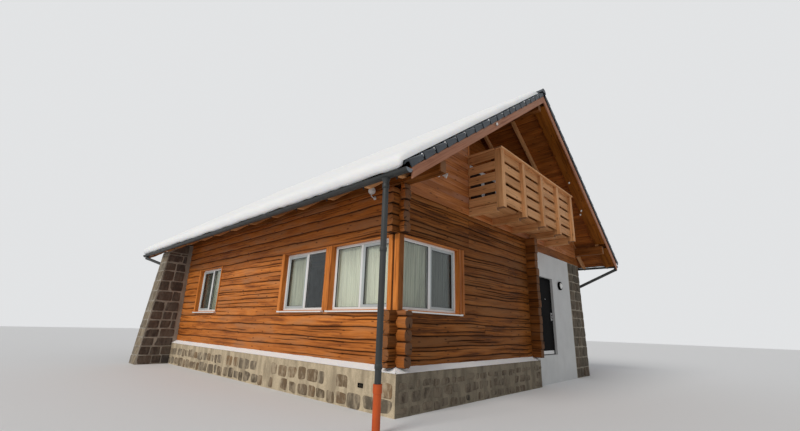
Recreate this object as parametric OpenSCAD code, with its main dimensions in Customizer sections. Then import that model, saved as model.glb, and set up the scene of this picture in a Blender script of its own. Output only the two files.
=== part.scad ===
// Alpine chalet: one log storey on a stone plinth, attic with a balcony in the gable.
// Millimetres, +Z up. The origin is on the ground under the middle of the roof's plan.
// Inside the modules x runs along the gable from the left log face, y runs back from
// the gable's log face, and z rises from the ground-floor level.

/* [House] */
// Width between the outer faces of the two long walls
house_w = 8900; // [8200:50:9600]
// From the gable's log face back to the stone rear wall
log_house_d = 9700; // [9200:50:11000]
// Thickness of the stone rear wall
rear_wall_t = 620; // [400:10:800]
// Ground-floor level above the ground
floor_rise = 700; // [500:10:900]

/* [Log walls] */
// Thickness of the hewn logs
log_t = 180; // [150:5:220]
// Height of one log course
course_h = 200; // [180:2:220]
// Depth of the hollow between two courses
seam_depth = 16; // [8:1:24]
// Log ends beyond the crossing wall's face
log_end_out = 190; // [150:10:320]
// Log ends of the left wall above the windows
upper_end_out = 105; // [60:5:190]
// Log ends beside the entrance
cross_end_out = 250; // [150:10:320]
// Left face of the second row of log ends, beside the entrance
cross_wall_x = 4950; // [4850:10:5050]

/* [Plinth] */
// Plinth face beyond the log face
plinth_out = 120; // [60:5:180]
// Width of the ledge inside that carries the floor
floor_seat = 120; // [80:5:200]
// Thickness of the ground floor
floor_t = 130; // [100:5:200]
// Thickness of the attic floor
upper_floor_t = 120; // [80:5:160]
// Bearing of the attic floor on the rear wall
upper_floor_seat = 150; // [80:10:250]
// Fall of the sloping ledge outside the logs
ledge_fall = 60; // [20:5:100]
// Bottom of the logs below the floor level
log_drop = 20; // [0:5:60]

/* [Windows] */
// Window sill above the floor
sill_z = 870; // [700:10:1000]
// Window head above the floor
head_z = 2160; // [2060:10:2200]
// Width of a two-light window
window_w = 1620; // [1400:10:1700]
// Width of the rear window in a long wall
small_window_w = 1535; // [1300:5:1650]
// Width of the gable's corner window
gable_window_w = 1690; // [1450:10:1750]
// Left wall: corner to the first window
corner_post_y = 230; // [200:5:300]
// Gable: corner to the corner window
corner_post_x = 110; // [90:5:160]
// Post between the two front windows of a long wall
mid_post = 170; // [150:10:300]
// Near jamb of the rear window in a long wall
small_window_y = 7040; // [6400:10:7200]
// Setback of the window frames behind the log face
frame_setback = 90; // [40:5:100]
// Depth of the window frames
frame_d = 70; // [50:5:80]
// Visible width of the window frames
frame_b = 60; // [45:5:80]
// Visible width of the opening sash
sash_b = 50; // [40:5:70]
// Thickness of the boards that line the window openings
lining_t = 20; // [15:1:30]
// Projection of the white sills beyond the log face
sill_out = 90; // [40:5:120]
// Thickness of the glazing
glass_t = 24; // [12:2:36]

/* [Entrance] */
// Door head above the floor
door_head = 2070; // [2000:10:2150]
// Left side of the door opening
door_x = 5620; // [5500:10:5800]
// Width of the door opening
door_w = 960; // [900:10:1100]
// Thickness of the rendered wall
render_t = 250; // [180:10:300]
// Top of the rendered wall
render_top = 2750; // [2600:10:2800]
// Width of the stone pier at its top
pier_w = 980; // [800:10:1200]
// Depth of the stone pier
pier_d = 600; // [400:10:700]
// Outward batter of the pier over its height
pier_batter = 130; // [0:10:200]
// Width of the steel door frame
door_frame_b = 60; // [40:5:80]
// Setback of the door frame from the wall face
door_setback = 70; // [30:5:120]
// Thickness of the door leaf
leaf_t = 50; // [40:5:60]
// Gap round the door leaf
leaf_gap = 6; // [5:1:10]

/* [Roof] */
// Top of the roof boards above the last log, at the outer face of a long wall
roof_over_logs = 377; // [300:1:480]
// Slope of the roof, in degrees
pitch = 36; // [32:1:40]
// Barge plane in front of the gable
verge_front = 1000; // [900:10:1200]
// Barge plane behind the rear wall
verge_rear = 1280; // [900:10:1500]
// Width of a rafter
rafter_b = 80; // [60:5:120]
// Depth of a rafter
rafter_d = 120; // [100:5:160]
// Distance between rafters
rafter_pitch = 970; // [800:10:1100]
// Thickness of the boarded deck
deck_t = 22; // [18:1:30]
// Height of a bargeboard
barge_h = 190; // [160:5:240]
// Thickness of a bargeboard
barge_t = 30; // [20:2:40]
// Tile courses on one slope
tile_rows = 18; // [14:1:22]
// Height of the battens under the tiles
batten_h = 70; // [50:5:90]
// Thickness of a roof tile
tile_t = 30; // [20:2:40]
// Step from one tile course to the next
tile_step = 25; // [15:1:35]
// Radius of the ridge tiles
ridge_tile_r = 110; // [90:5:130]
// Thickness of the snow blanket
snow_t = 130; // [60:5:200]
// Strip of tiles left bare at each verge
snow_inset = 160; // [100:10:260]

/* [Gutters] */
// Radius of the half-round gutters
gutter_r = 62; // [54:2:80]
// Distance of the gutter's middle from the wall face
gutter_out = 900; // [860:5:1000]
// Thickness of the gutter and pipe walls
sheet_t = 4; // [3:1:6]
// Radius of the downpipes
pipe_r = 45; // [35:1:50]
// Downpipe's distance in front of the gable
pipe_front = 530; // [400:10:700]

/* [Rear wall] */
// Foot of the battered wing beyond the long wall
wing_foot_out = 1035; // [800:5:1035]
// Batter of the wing, run over rise
wing_batter = 0.099; // [0.05:0.001:0.12]
// Width of the rear windows
rear_window_w = 1000; // [800:10:1200]

/* [Balcony] */
// Left side of the balcony
balcony_x = 2190; // [2050:10:2300]
// Distance between balcony posts
post_pitch = 1000; // [960:10:1020]
// Face of the balcony posts in front of the gable
balcony_out = 850; // [700:10:900]
// Depth of the recess behind the balcony
recess_d = 1200; // [1000:10:1500]
// Width of a balcony post
post_b = 130; // [100:5:150]
// Depth of a balcony post
post_d = 170; // [120:5:190]
// Gap between the joists and the lowest panel board
panel_lift = 7; // [5:1:40]
// Number of boards in a panel
panel_boards = 5; // [3:1:6]
// Thickness of the flat rail
rail_t = 43; // [30:1:60]
// Height of a panel board
panel_board_h = 200; // [150:5:205]
// Slot between panel boards
panel_slot = 50; // [30:2:60]
// Thickness of a panel board
panel_board_t = 30; // [20:2:40]
// Height of a balcony joist
joist_h = 160; // [140:5:200]
// Thickness of the balcony floor boards
balcony_floor_t = 35; // [25:1:45]
// Thickness of the boarded gable walls
gable_t = 120; // [100:5:160]

/* [Hidden] */

$fn = 48;
EPS = 1;
OVER = 400;
slope = tan(pitch);
house_d = log_house_d + rear_wall_t;
roof_y0 = -verge_front;
roof_y1 = house_d + verge_rear;
mid_x = house_w / 2;
mid_y = (roof_y0 + roof_y1) / 2;
pier_x = house_w - pier_w;
// Clearance between sloping faces that meet
slope_gap = 0.2;

// Log courses
face_steps = 6;
courses = 15;
wall_z0 = -log_drop;
wall_z1 = wall_z0 + courses * course_h;
side_z1 = wall_z1 + course_h / 2;
window_h = head_z - sill_z;

// Roof lines: heights at a distance from the left wall face
rafter_x0 = -gutter_out + gutter_r;
rafter_drop = (rafter_d + deck_t) / cos(pitch);
deck_drop = deck_t / cos(pitch);
ridge_z = round((side_z1 + roof_over_logs + slope * mid_x) / 10) * 10;
function roof_top(x) = ridge_z - slope * abs(mid_x - x);
function deck_under(x) = roof_top(x) - deck_drop;
function rafter_under(x) = roof_top(x) - rafter_drop;
plate_z1 = round(rafter_under(0) + 48);
plate_out = verge_front - barge_t - 100;
plate_rear_out = verge_rear - barge_t - 100;
ridge_beam_b = 160;
ridge_beam_h = 200;
ridge_beam_z1 = rafter_under(mid_x) - 14;
gable_rafter_y = 40;
fly_rafter_y = -700;
// Rafter tails rise from this far inside the eave, to this height at the gutter
tail_run = 160;
tail_h = 50;
rafter_count = floor((house_d - gable_rafter_y) / rafter_pitch) + 2;
rear_fly_y = roof_y1 - 300;
rafter_ys = concat([fly_rafter_y], [for (i = [0:rafter_count - 1]) gable_rafter_y + i * rafter_pitch],
                   [rear_fly_y]);
tile_over = 30;
tile_run = (mid_x - rafter_x0) / cos(pitch);
tile_nose = 40;

// Balcony
posts = 5;
floor_joist_z0 = wall_z1;
balcony_floor_z = floor_joist_z0 + joist_h;
post_xs = [for (i = [0:posts - 1]) balcony_x + i * post_pitch];
balcony_x1 = balcony_x + (posts - 1) * post_pitch + post_b;
recess_jamb = 60;
recess_z0 = balcony_floor_z + balcony_floor_t;
panel_z1 = balcony_floor_z + panel_lift + panel_boards * panel_board_h + (panel_boards - 1) * panel_slot;
rail_z = panel_z1 + rail_t;
post_z0 = floor_joist_z0 + 60;
joist_y0 = -balcony_out + post_d;
panel_setback = 70;

// Openings in the walls: [start, width] along each wall
left_windows = [[corner_post_y, window_w], [corner_post_y + window_w + mid_post, window_w],
                [small_window_y, small_window_w]];
right_windows = [[corner_post_y + window_w + mid_post, window_w], [small_window_y, small_window_w]];
rear_windows = [[house_w * 0.22, rear_window_w], [house_w * 0.66, rear_window_w]];
door_leaf_h = door_head - door_frame_b - 2 * leaf_gap;
door_leaf_w = door_w - 2 * door_frame_b - 2 * leaf_gap;
leaf_x = door_x + door_frame_b + leaf_gap;
leaf_y = door_setback;
hinge_r = 9;
hinge_x = leaf_x - 3;
hinge_y = leaf_y - hinge_r;
hinge_zs = [220, 1700];
knuckle_h = 50;
lamp_x = 7080;
lamp_z = 1925;

// Colours
log_c = [0.68, 0.36, 0.14];
board_c = [0.55, 0.30, 0.13];
trim_c = [0.72, 0.47, 0.28];
stone_c = [0.36, 0.33, 0.30];
plinth_c = [0.55, 0.51, 0.44];
white_c = [0.88, 0.88, 0.87];
dark_c = [0.22, 0.25, 0.28];
snow_c = [0.95, 0.96, 0.98];

// Moves the house so that the origin is on the ground under the middle of the roof
module at_house() {
    translate([-mid_x, -mid_y, floor_rise]) children();
}

// Turns a piece drawn for the gable (along x, into the wall along y) onto another wall
module on_left(y) { translate([0, y, 0]) rotate([0, 0, -90]) children(); }
module on_right(y) { translate([house_w, y, 0]) rotate([0, 0, 90]) children(); }
module on_rear(x) { translate([x, house_d, 0]) rotate([0, 0, 180]) children(); }

module box(x0, x1, y0, y1, z0, z1) {
    translate([x0, y0, z0]) cube([x1 - x0, y1 - y0, z1 - z0]);
}

// Prism of an outline in x and z, from y0 back to y1
module along_y(y0, y1) {
    translate([0, y1, 0]) rotate([90, 0, 0]) linear_extrude(y1 - y0) children();
}

// Prism of an outline in y and z, from x0 to x1
module along_x(x0, x1) {
    translate([x0, 0, 0]) rotate([90, 0, 90]) linear_extrude(x1 - x0) children();
}

// Depth of a log's hewn face below its crown, t of the way up its course
function hewn(t) = seam_depth * pow(abs(2 * t - 1), 2.5);

// Section of a log wall: crowned faces outside and inside; first_half starts with half a log
function log_section(z1, first_half) =
    let (dz = course_h / face_steps, n = round((z1 - wall_z0) / dz),
         shift = first_half ? face_steps / 2 : 0)
    concat([for (i = [0:n]) [hewn(((i + shift) % face_steps) / face_steps), wall_z0 + i * dz]],
           [for (i = [n:-1:0]) [log_t - hewn(((i + shift) % face_steps) / face_steps), wall_z0 + i * dz]]);

module log_run(x0, x1, z1, first_half) {
    along_x(x0, x1) polygon(log_section(z1, first_half));
}

// Saddle notches where two walls cross: every second half course belongs to the other wall
module notches(x0, x1, y0, y1, phase) {
    for (i = [0:courses])
        box(x0, x1, y0, y1, wall_z0 + (i + phase) * course_h - course_h / 4,
            wall_z0 + (i + phase) * course_h + course_h / 4);
}

// Log walls

module log_wall_left() {
    color(log_c) at_house() difference() {
        union() {
            on_left(log_house_d) log_run(0, log_house_d, side_z1, false);
            on_left(EPS) log_run(0, log_end_out + EPS, wall_z1, false);
        }
        notches(-OVER, log_t + EPS, 0, log_t, 0);
        box(-OVER, log_t + EPS, -OVER, -upper_end_out, head_z - EPS, wall_z1 + EPS);
        box(-OVER, log_t + EPS, -OVER, corner_post_y + window_w + mid_post + window_w, sill_z, head_z);
        box(-OVER, log_t + EPS, small_window_y, small_window_y + small_window_w, sill_z, head_z);
    }
}

module log_wall_front() {
    color(log_c) at_house() difference() {
        log_run(-log_end_out, cross_wall_x + log_t, wall_z1, true);
        notches(0, log_t, -OVER, log_t + EPS, 0.5);
        notches(cross_wall_x, cross_wall_x + log_t + EPS, -OVER, log_t + EPS, 0.5);
        box(-OVER, corner_post_x + gable_window_w, -OVER, log_t + EPS, sill_z, head_z);
    }
}

module log_wall_right() {
    color(log_c) at_house() difference() {
        on_right(0) log_run(0, log_house_d, side_z1, false);
        box(house_w - log_t - EPS, house_w + EPS, -EPS, pier_d, -OVER, wall_z1);
        for (w = right_windows)
            box(house_w - log_t - EPS, house_w + EPS, w[0], w[0] + w[1], sill_z, head_z);
    }
}

// Second row of log ends, where a cross wall meets the gable beside the entrance
module entrance_log_ends() {
    color(log_c) at_house() difference() {
        translate([cross_wall_x, 0, 0])
            on_left(log_t + cross_end_out) log_run(0, log_t + 2 * cross_end_out, wall_z1, false);
        notches(cross_wall_x - EPS, cross_wall_x + log_t + EPS, 0, log_t, 0);
        box(cross_wall_x - EPS, cross_wall_x + log_t + EPS, log_t, 2 * log_t + OVER, wall_z0 - EPS, 0);
    }
}

// Cased posts between the windows: at the near corner and in the long wall
module window_posts() {
    color(trim_c) at_house() {
        box(0, corner_post_x, 0, corner_post_y, sill_z, head_z);
        box(0, log_t, corner_post_y + window_w, corner_post_y + window_w + mid_post, sill_z, head_z);
    }
}

// Plinth and floors

// Plinth section: outer face, sloping ledge, seat for the logs, seat for the floor
module plinth_section() {
    polygon([[-plinth_out, -floor_rise], [log_t + floor_seat, -floor_rise],
             [log_t + floor_seat, -floor_t], [log_t, -floor_t], [log_t, wall_z0],
             [0, wall_z0], [-plinth_out, wall_z0 - ledge_fall]]);
}

// Half plane beyond the mitre at a plinth corner
module mitre_cut(side) {
    translate([0, 0, -floor_rise - EPS]) linear_extrude(floor_rise + OVER)
        polygon([[-OVER, -OVER], [2 * OVER, 2 * OVER], side > 0 ? [2 * OVER, -OVER] : [-OVER, 2 * OVER]]);
}

module plinth_left() {
    color(plinth_c) at_house() difference() {
        on_left(log_house_d) along_x(0, log_house_d + plinth_out) plinth_section();
        mitre_cut(1);
    }
}

module plinth_front() {
    color(plinth_c) at_house() difference() {
        along_x(-plinth_out, cross_wall_x + log_t) plinth_section();
        mitre_cut(-1);
    }
}

module plinth_right() {
    color(plinth_c) at_house() on_right(pier_d) along_x(0, log_house_d - pier_d) plinth_section();
}

module ground_floor() {
    color(board_c) at_house() difference() {
        box(log_t, house_w - log_t, log_t, log_house_d, -floor_t, 0);
        box(cross_wall_x + log_t, house_w, -OVER, render_t, -OVER, OVER);
        box(pier_x, house_w, -OVER, pier_d, -OVER, OVER);
    }
}

module upper_floor() {
    color(board_c) at_house() difference() {
        box(log_t, house_w - log_t, gable_t, log_house_d + upper_floor_seat,
            wall_z1, wall_z1 + upper_floor_t);
        box(balcony_x, balcony_x1, -OVER, recess_d, wall_z1 - EPS, wall_z1 + OVER);
    }
}

// Entrance bay and masonry

// Rendered walls on both sides of the doorway
module entrance_walls() {
    color(white_c) at_house() {
        box(cross_wall_x + log_t, door_x, 0, render_t, -floor_rise, render_top);
        box(door_x + door_w, pier_x, 0, render_t, -floor_rise, render_top);
    }
}

// Wall over the door and the threshold wall under it
module entrance_wall_head() {
    color(white_c) at_house() {
        box(door_x, door_x + door_w, 0, render_t, door_head, render_top);
        box(door_x, door_x + door_w, 0, render_t, -floor_rise, 0);
    }
}

// Beam over the doorway and the pier, with its bearing for the right wall
module entrance_beam() {
    color(board_c) at_house() {
        box(cross_wall_x + log_t, house_w, 0, render_t, render_top, wall_z1);
        box(pier_x, house_w, 0, pier_d, render_top, wall_z1);
    }
}

module front_right_pier() {
    color(stone_c) at_house() along_y(0, pier_d)
        polygon([[pier_x, -floor_rise], [house_w + pier_batter, -floor_rise],
                 [house_w, render_top], [pier_x, render_top]]);
}

// Outline of the rear wall: battered wings that run up under the rafters
wing_top_x = let (rise = rafter_under(-wing_foot_out) + floor_rise,
                  run = rise * wing_batter / (1 - slope * wing_batter)) -wing_foot_out + run;
wing_seat_x = (side_z1 + slope_gap - rafter_under(0)) / slope;

module rear_wall() {
    left = [[log_t, wall_z1], [log_t, side_z1], [wing_seat_x, side_z1],
            [wing_top_x, rafter_under(wing_top_x) - slope_gap], [-wing_foot_out, -floor_rise]];
    right = [for (i = [len(left) - 1:-1:0]) [house_w - left[i][0], left[i][1]]];
    color(stone_c) at_house() difference() {
        along_y(log_house_d, house_d) polygon(concat(left, right));
        for (w = rear_windows)
            box(w[0], w[0] + w[1], log_house_d - EPS, house_d + EPS, sill_z, head_z);
    }
}

// Roof structure

module wall_plates() {
    color(log_c) at_house() for (x = [0, house_w - log_t])
        box(x, x + log_t, -plate_out, house_d + plate_rear_out, side_z1, plate_z1);
}

module ridge_beam() {
    color(board_c) at_house()
        box(mid_x - ridge_beam_b / 2, mid_x + ridge_beam_b / 2, -plate_out,
            house_d + plate_rear_out, ridge_beam_z1 - ridge_beam_h, ridge_beam_z1);
}

// One left rafter, notched over the wall plate and the ridge beam, its tail cut slim
module rafter(y) {
    beam_x0 = mid_x - ridge_beam_b / 2;
    tail_x = rafter_x0 + tail_run;
    along_y(y - rafter_b / 2, y + rafter_b / 2)
        polygon([[rafter_x0, deck_under(rafter_x0) - tail_h], [tail_x, rafter_under(tail_x)],
                 [0, rafter_under(0)], [0, plate_z1],
                 [(plate_z1 - rafter_under(0)) / slope, plate_z1], [beam_x0, rafter_under(beam_x0)],
                 [beam_x0, ridge_beam_z1], [mid_x, ridge_beam_z1],
                 [mid_x, deck_under(mid_x)], [rafter_x0, deck_under(rafter_x0)]]);
}

module mirrored() { translate([house_w, 0, 0]) mirror([1, 0, 0]) children(); }

module rafters() { for (y = rafter_ys) rafter(y); }
module rafters_left() { color(board_c) at_house() rafters(); }
module rafters_right() { color(board_c) at_house() mirrored() rafters(); }

module roof_deck() {
    along_y(roof_y0 + barge_t, roof_y1 - barge_t)
        polygon([[rafter_x0, deck_under(rafter_x0)], [mid_x, deck_under(mid_x)],
                 [mid_x, roof_top(mid_x)], [rafter_x0, roof_top(rafter_x0)]]);
}
module roof_deck_left() { color(board_c) at_house() roof_deck(); }
module roof_deck_right() { color(board_c) at_house() mirrored() roof_deck(); }

// Point on the left slope: s up the slope from the eave, h square to it above the deck
function on_slope(s, h) = [rafter_x0 + s * cos(pitch) - h * sin(pitch),
                           roof_top(rafter_x0) + s * sin(pitch) + h * cos(pitch)];

// Stepped outline of the tile courses, closed down to the deck
tile_gauge = tile_run / tile_rows;
batten_b = 60;
verge_t = 40;
module tile_section() {
    steps = [for (i = [0:tile_rows - 1]) each [
        on_slope(i * tile_gauge - (i == 0 ? tile_nose : 0), batten_h + tile_t + tile_step),
        on_slope((i + 1) * tile_gauge, batten_h + tile_t)]];
    polygon(concat(steps, [on_slope(tile_run, 0), on_slope(0, 0), on_slope(0, batten_h),
                           on_slope(-tile_nose, batten_h)]));
}

// Tiles of one slope: hollow between the battens, closed at the verges
module roof_tiles() {
    difference() {
        along_y(roof_y0 - tile_over, roof_y1 + tile_over) tile_section();
        for (i = [0:tile_rows - 1]) {
            s0 = i * tile_gauge + batten_b;
            s1 = (i + 1) * tile_gauge - (i == tile_rows - 1 ? batten_b : 0);
            along_y(roof_y0 - tile_over + verge_t, roof_y1 + tile_over - verge_t)
                polygon([on_slope(s0, -EPS), on_slope(s0, batten_h),
                         on_slope(s1, batten_h), on_slope(s1, -EPS)]);
        }
    }
}
module roof_tiles_left() { color(dark_c) at_house() roof_tiles(); }
module roof_tiles_right() { color(dark_c) at_house() mirrored() roof_tiles(); }

// Half-round ridge capping over both slopes
ridge_cap_z = roof_top(mid_x) + (batten_h + tile_t) / cos(pitch) - 20;
module ridge_tiles() {
    color(dark_c) at_house() difference() {
        translate([mid_x, roof_y1 + tile_over, ridge_cap_z]) rotate([90, 0, 0])
            cylinder(h = roof_y1 - roof_y0 + 2 * tile_over, r = ridge_tile_r);
        slope_cut();
        mirrored() slope_cut();
    }
}

// All that lies below the crests of the left slope's tiles
module slope_cut() {
    crest = batten_h + tile_t + tile_step;
    along_y(roof_y0 - OVER, roof_y1 + OVER)
        polygon([on_slope(0, crest),
                 [mid_x, on_slope(0, crest)[1] + slope * (mid_x - on_slope(0, crest)[0])],
                 [mid_x, 0], [0, 0]]);
}

module snow_section() {
    crest = batten_h + tile_t + tile_step + slope_gap;
    edge = 60;
    s1 = tile_run + 2 * snow_t;
    polygon([on_slope(0, crest), on_slope(s1, crest), on_slope(s1, crest + snow_t),
             on_slope(edge, crest + snow_t), on_slope(-tile_nose, crest + snow_t - edge),
             on_slope(-tile_nose - 20, crest + edge)]);
}

module roof_snow() {
    intersection() {
        difference() {
            along_y(roof_y0 + snow_inset, roof_y1 - snow_inset) snow_section();
            translate([mid_x, roof_y1, ridge_cap_z]) rotate([90, 0, 0])
                cylinder(h = roof_y1 - roof_y0, r = ridge_tile_r);
        }
        box(-2 * gutter_out, mid_x, roof_y0, roof_y1, 0, ridge_z + 2 * OVER);
    }
}
module roof_snow_left() { color(snow_c) at_house() roof_snow(); }
module roof_snow_right() { color(snow_c) at_house() mirrored() roof_snow(); }

// Pair of bargeboards: mitred at the ridge, cut plumb beside the gutters
module barge_pair(y) {
    x0 = rafter_x0 + 10;
    eave_z = roof_top(x0) - slope_gap;
    ridge_top_z = roof_top(mid_x) - slope_gap;
    along_y(y, y + barge_t)
        polygon([[x0, eave_z], [mid_x, ridge_top_z], [house_w - x0, eave_z],
                 [house_w - x0, eave_z - barge_h], [mid_x, ridge_top_z - barge_h], [x0, eave_z - barge_h]]);
}
module bargeboards() {
    color(trim_c) at_house() {
        barge_pair(roof_y0);
        barge_pair(roof_y1 - barge_t);
    }
}

// Gutters and downpipes

gutter_z = roof_top(rafter_x0) - 45;
gutter_y0 = roof_y0;
gutter_y1 = roof_y1;
bracket_b = 30;
bracket_t = 6;
foot_top = -114;
pipe_y = -pipe_front;
rear_pipe_y = roof_y1 - 280;
rear_pipe_wall_y = house_d + 20 + pipe_r;
rear_pipe_x = -620;
right_pipe_y = roof_y0 + 70;
right_pipe_x = house_w + pier_batter + 20 + pipe_r;
right_elbow_z = 1980;

module half_ring(r_out, r_in) {
    difference() {
        circle(r_out);
        circle(r_in);
        translate([-2 * r_out, 0]) square([4 * r_out, 2 * r_out]);
    }
}

module half_disc(r) {
    difference() {
        circle(r);
        translate([-2 * r, 0]) square([4 * r, 2 * r]);
    }
}

// Left gutter with its end caps, brackets and outlets
module gutter(outlets) {
    difference() {
        union() {
            translate([-gutter_out, 0, gutter_z]) {
                along_y(gutter_y0, gutter_y1) half_ring(gutter_r, gutter_r - sheet_t);
                along_y(gutter_y0, gutter_y0 + sheet_t) half_disc(gutter_r - sheet_t / 2);
                along_y(gutter_y1 - sheet_t, gutter_y1) half_disc(gutter_r - sheet_t / 2);
                for (y = rafter_ys) {
                    along_y(y - bracket_b / 2, y + bracket_b / 2)
                        half_ring(gutter_r, gutter_r - sheet_t - bracket_t);
                    translate([gutter_r - bracket_t, y - bracket_b / 2, -80])
                        cube([bracket_t, bracket_b, 100]);
                }
            }
        }
        for (y = outlets)
            translate([-gutter_out, y, gutter_z - 2 * gutter_r])
                cylinder(h = 2 * gutter_r, r = pipe_r - sheet_t);
    }
}
module gutter_left() { color(dark_c) at_house() gutter([pipe_y, rear_pipe_y]); }
module gutter_right() { color(dark_c) at_house() mirrored() gutter([right_pipe_y]); }

// Straight downpipe from the left gutter to its foot, with couplers
module downpipe() {
    coupler_zs = [1640, 66];
    color(dark_c) at_house() difference() {
        translate([-gutter_out, pipe_y, 0]) {
            translate([0, 0, foot_top]) cylinder(h = gutter_z - foot_top - gutter_r / 2, r = pipe_r);
            for (z = coupler_zs) translate([0, 0, z]) cylinder(h = 60, r = pipe_r + 4);
        }
        translate([-gutter_out, pipe_y, foot_top - EPS])
            cylinder(h = gutter_z - foot_top, r = pipe_r - sheet_t);
        translate([-gutter_out, 0, gutter_z]) rotate([90, 0, 0])
            cylinder(h = 2 * verge_front, r = gutter_r);
    }
}

module downpipe_foot() {
    foot_r = pipe_r + 8;
    color([0.86, 0.32, 0.10]) at_house() translate([-gutter_out, pipe_y, -floor_rise]) difference() {
        cylinder(h = foot_top + floor_rise, r = foot_r);
        translate([0, 0, -EPS]) cylinder(h = foot_top + floor_rise + 2 * EPS, r = foot_r - 6);
    }
}

// Round bar between two points
module bar(a, b, r) {
    d = b - a;
    translate(a) rotate([0, acos(d[2] / norm(d)), atan2(d[1], d[0])]) cylinder(h = norm(d), r = r);
}

// Downpipe with a swan neck, from the gutter's outlet to its elbow at the wall
module necked_pipe(outlet_x, outlet_y, elbow) {
    a = [outlet_x, outlet_y, gutter_z - gutter_r];
    b = a - [0, 0, 60];
    bar(b, a, pipe_r);
    bar(b, elbow, pipe_r);
    bar([elbow[0], elbow[1], -floor_rise], elbow, pipe_r);
    for (bend = [b, elbow]) translate(bend) sphere(pipe_r + 6);
}

// At the back of the wing
module rear_downpipe() {
    color(dark_c) at_house() necked_pipe(-gutter_out, rear_pipe_y,
        [rear_pipe_x, rear_pipe_wall_y, gutter_z - gutter_r - 330]);
}

// Beside the pier
module right_downpipe() {
    color(dark_c) at_house() necked_pipe(house_w + gutter_out, right_pipe_y,
        [right_pipe_x, pier_d / 2, right_elbow_z]);
}

// Boarded gables

// Outline under the rafters from x0 to x1 above z0, on the left or right of the ridge
module gable_outline(x0, x1, z0) {
    xs = x0 < mid_x && x1 > mid_x ? [x1, mid_x, x0] : [x1, x0];
    polygon(concat([[x0, z0], [x1, z0]], [for (x = xs) [x, rafter_under(x) - slope_gap]]));
}

// Each front gable wall ends in a jamb that stands on the balcony floor
module front_gable_left() {
    color(board_c) at_house() along_y(0, gable_t) {
        gable_outline(log_t, balcony_x, wall_z1);
        gable_outline(balcony_x - EPS, balcony_x + recess_jamb, recess_z0);
    }
}

module front_gable_right() {
    color(board_c) at_house() along_y(0, gable_t) {
        gable_outline(balcony_x1, house_w - log_t, wall_z1);
        gable_outline(balcony_x1 - recess_jamb, balcony_x1 + EPS, recess_z0);
    }
}

// Space of the ridge beam, cut out of the walls that it passes through
module ridge_beam_pocket() {
    box(mid_x - ridge_beam_b / 2, mid_x + ridge_beam_b / 2, 0, house_d + EPS,
        ridge_beam_z1 - ridge_beam_h, ridge_z);
}

// Side and back walls of the recess behind the balcony, with the doorway in the back wall
recess_door_from_mid = 550;
recess_door_x = mid_x - recess_door_from_mid;
recess_door_w = 1000;
recess_window_w = 900;
recess_door_h = 2050;
recess_door_z1 = recess_z0 + recess_door_h;
module recess_walls() {
    z0 = wall_z1 + upper_floor_t;
    color(board_c) at_house() difference() {
        union() {
            along_y(recess_d, recess_d + gable_t)
                gable_outline(balcony_x - gable_t, balcony_x1 + gable_t, z0);
            along_y(gable_t, recess_d) gable_outline(balcony_x - gable_t, balcony_x, z0);
            along_y(gable_t, recess_d) gable_outline(balcony_x1, balcony_x1 + gable_t, z0);
        }
        box(recess_door_x, recess_door_x + recess_door_w + recess_window_w,
            recess_d - EPS, recess_d + gable_t + EPS, recess_z0, recess_door_z1);
        ridge_beam_pocket();
    }
}

rear_gable_window_w = 1100;
rear_gable_window_z = 4100;
rear_gable_window_h = 1100;
module rear_gable() {
    color(board_c) at_house() difference() {
        along_y(house_d - gable_t, house_d) gable_outline(log_t, house_w - log_t, wall_z1);
        box(mid_x - rear_gable_window_w / 2, mid_x + rear_gable_window_w / 2,
            house_d - gable_t - EPS, house_d + EPS,
            rear_gable_window_z, rear_gable_window_z + rear_gable_window_h);
        ridge_beam_pocket();
    }
}

// Balcony

module balcony_joists() {
    color(board_c) at_house()
        for (x = post_xs) box(x, x + post_b, joist_y0, recess_d, floor_joist_z0, balcony_floor_z);
}

// Boards between the joists that close the gable wall under the recess
module joist_blocking() {
    color(board_c) at_house() for (i = [0:posts - 2])
        box(post_xs[i] + post_b, post_xs[i + 1], 0, gable_t, floor_joist_z0, balcony_floor_z);
}

module balcony_floor() {
    color(board_c) at_house() {
        box(balcony_x, balcony_x1, 0, recess_d, balcony_floor_z, recess_z0);
        box(balcony_x + panel_board_t, balcony_x1 - panel_board_t, joist_y0, EPS,
            balcony_floor_z, recess_z0);
    }
}

module balcony_posts() {
    color(trim_c) at_house()
        for (x = post_xs) box(x, x + post_b, -balcony_out, -balcony_out + post_d, post_z0, panel_z1);
}

// Boards between the posts and along both sides, a slot above each
module balcony_panels() {
    y0 = -balcony_out + panel_setback;
    color(trim_c) at_house() for (k = [1:panel_boards]) {
        z0 = panel_z1 - k * panel_board_h - (k - 1) * panel_slot;
        for (i = [0:posts - 2])
            box(post_xs[i] + post_b, post_xs[i + 1], y0, y0 + panel_board_t, z0, z0 + panel_board_h);
        box(balcony_x, balcony_x + panel_board_t, -balcony_out + post_d, 0, z0, z0 + panel_board_h);
        box(balcony_x1 - panel_board_t, balcony_x1, -balcony_out + post_d, 0, z0, z0 + panel_board_h);
    }
}

// Flat rail over the posts and the side panels
module balcony_rail() {
    rail_b = 190;
    lip = 30;
    color(trim_c) at_house() {
        box(balcony_x - lip, balcony_x1 + lip, -balcony_out - lip, -balcony_out - lip + rail_b,
            panel_z1, rail_z);
        box(balcony_x - lip, balcony_x + 100, -balcony_out, 0, panel_z1, rail_z);
        box(balcony_x1 - 100, balcony_x1 + lip, -balcony_out, 0, panel_z1, rail_z);
    }
}

// Windows, drawn for the gable: x along the wall, y into it, z up

module ring(w, h, b, y0, y1) {
    difference() {
        box(0, w, y0, y1, 0, h);
        box(b, w - b, y0 - EPS, y1 + EPS, b, h - b);
    }
}

module lining(w, h, depth) { ring(w, h, lining_t, 0, depth); }

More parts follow.
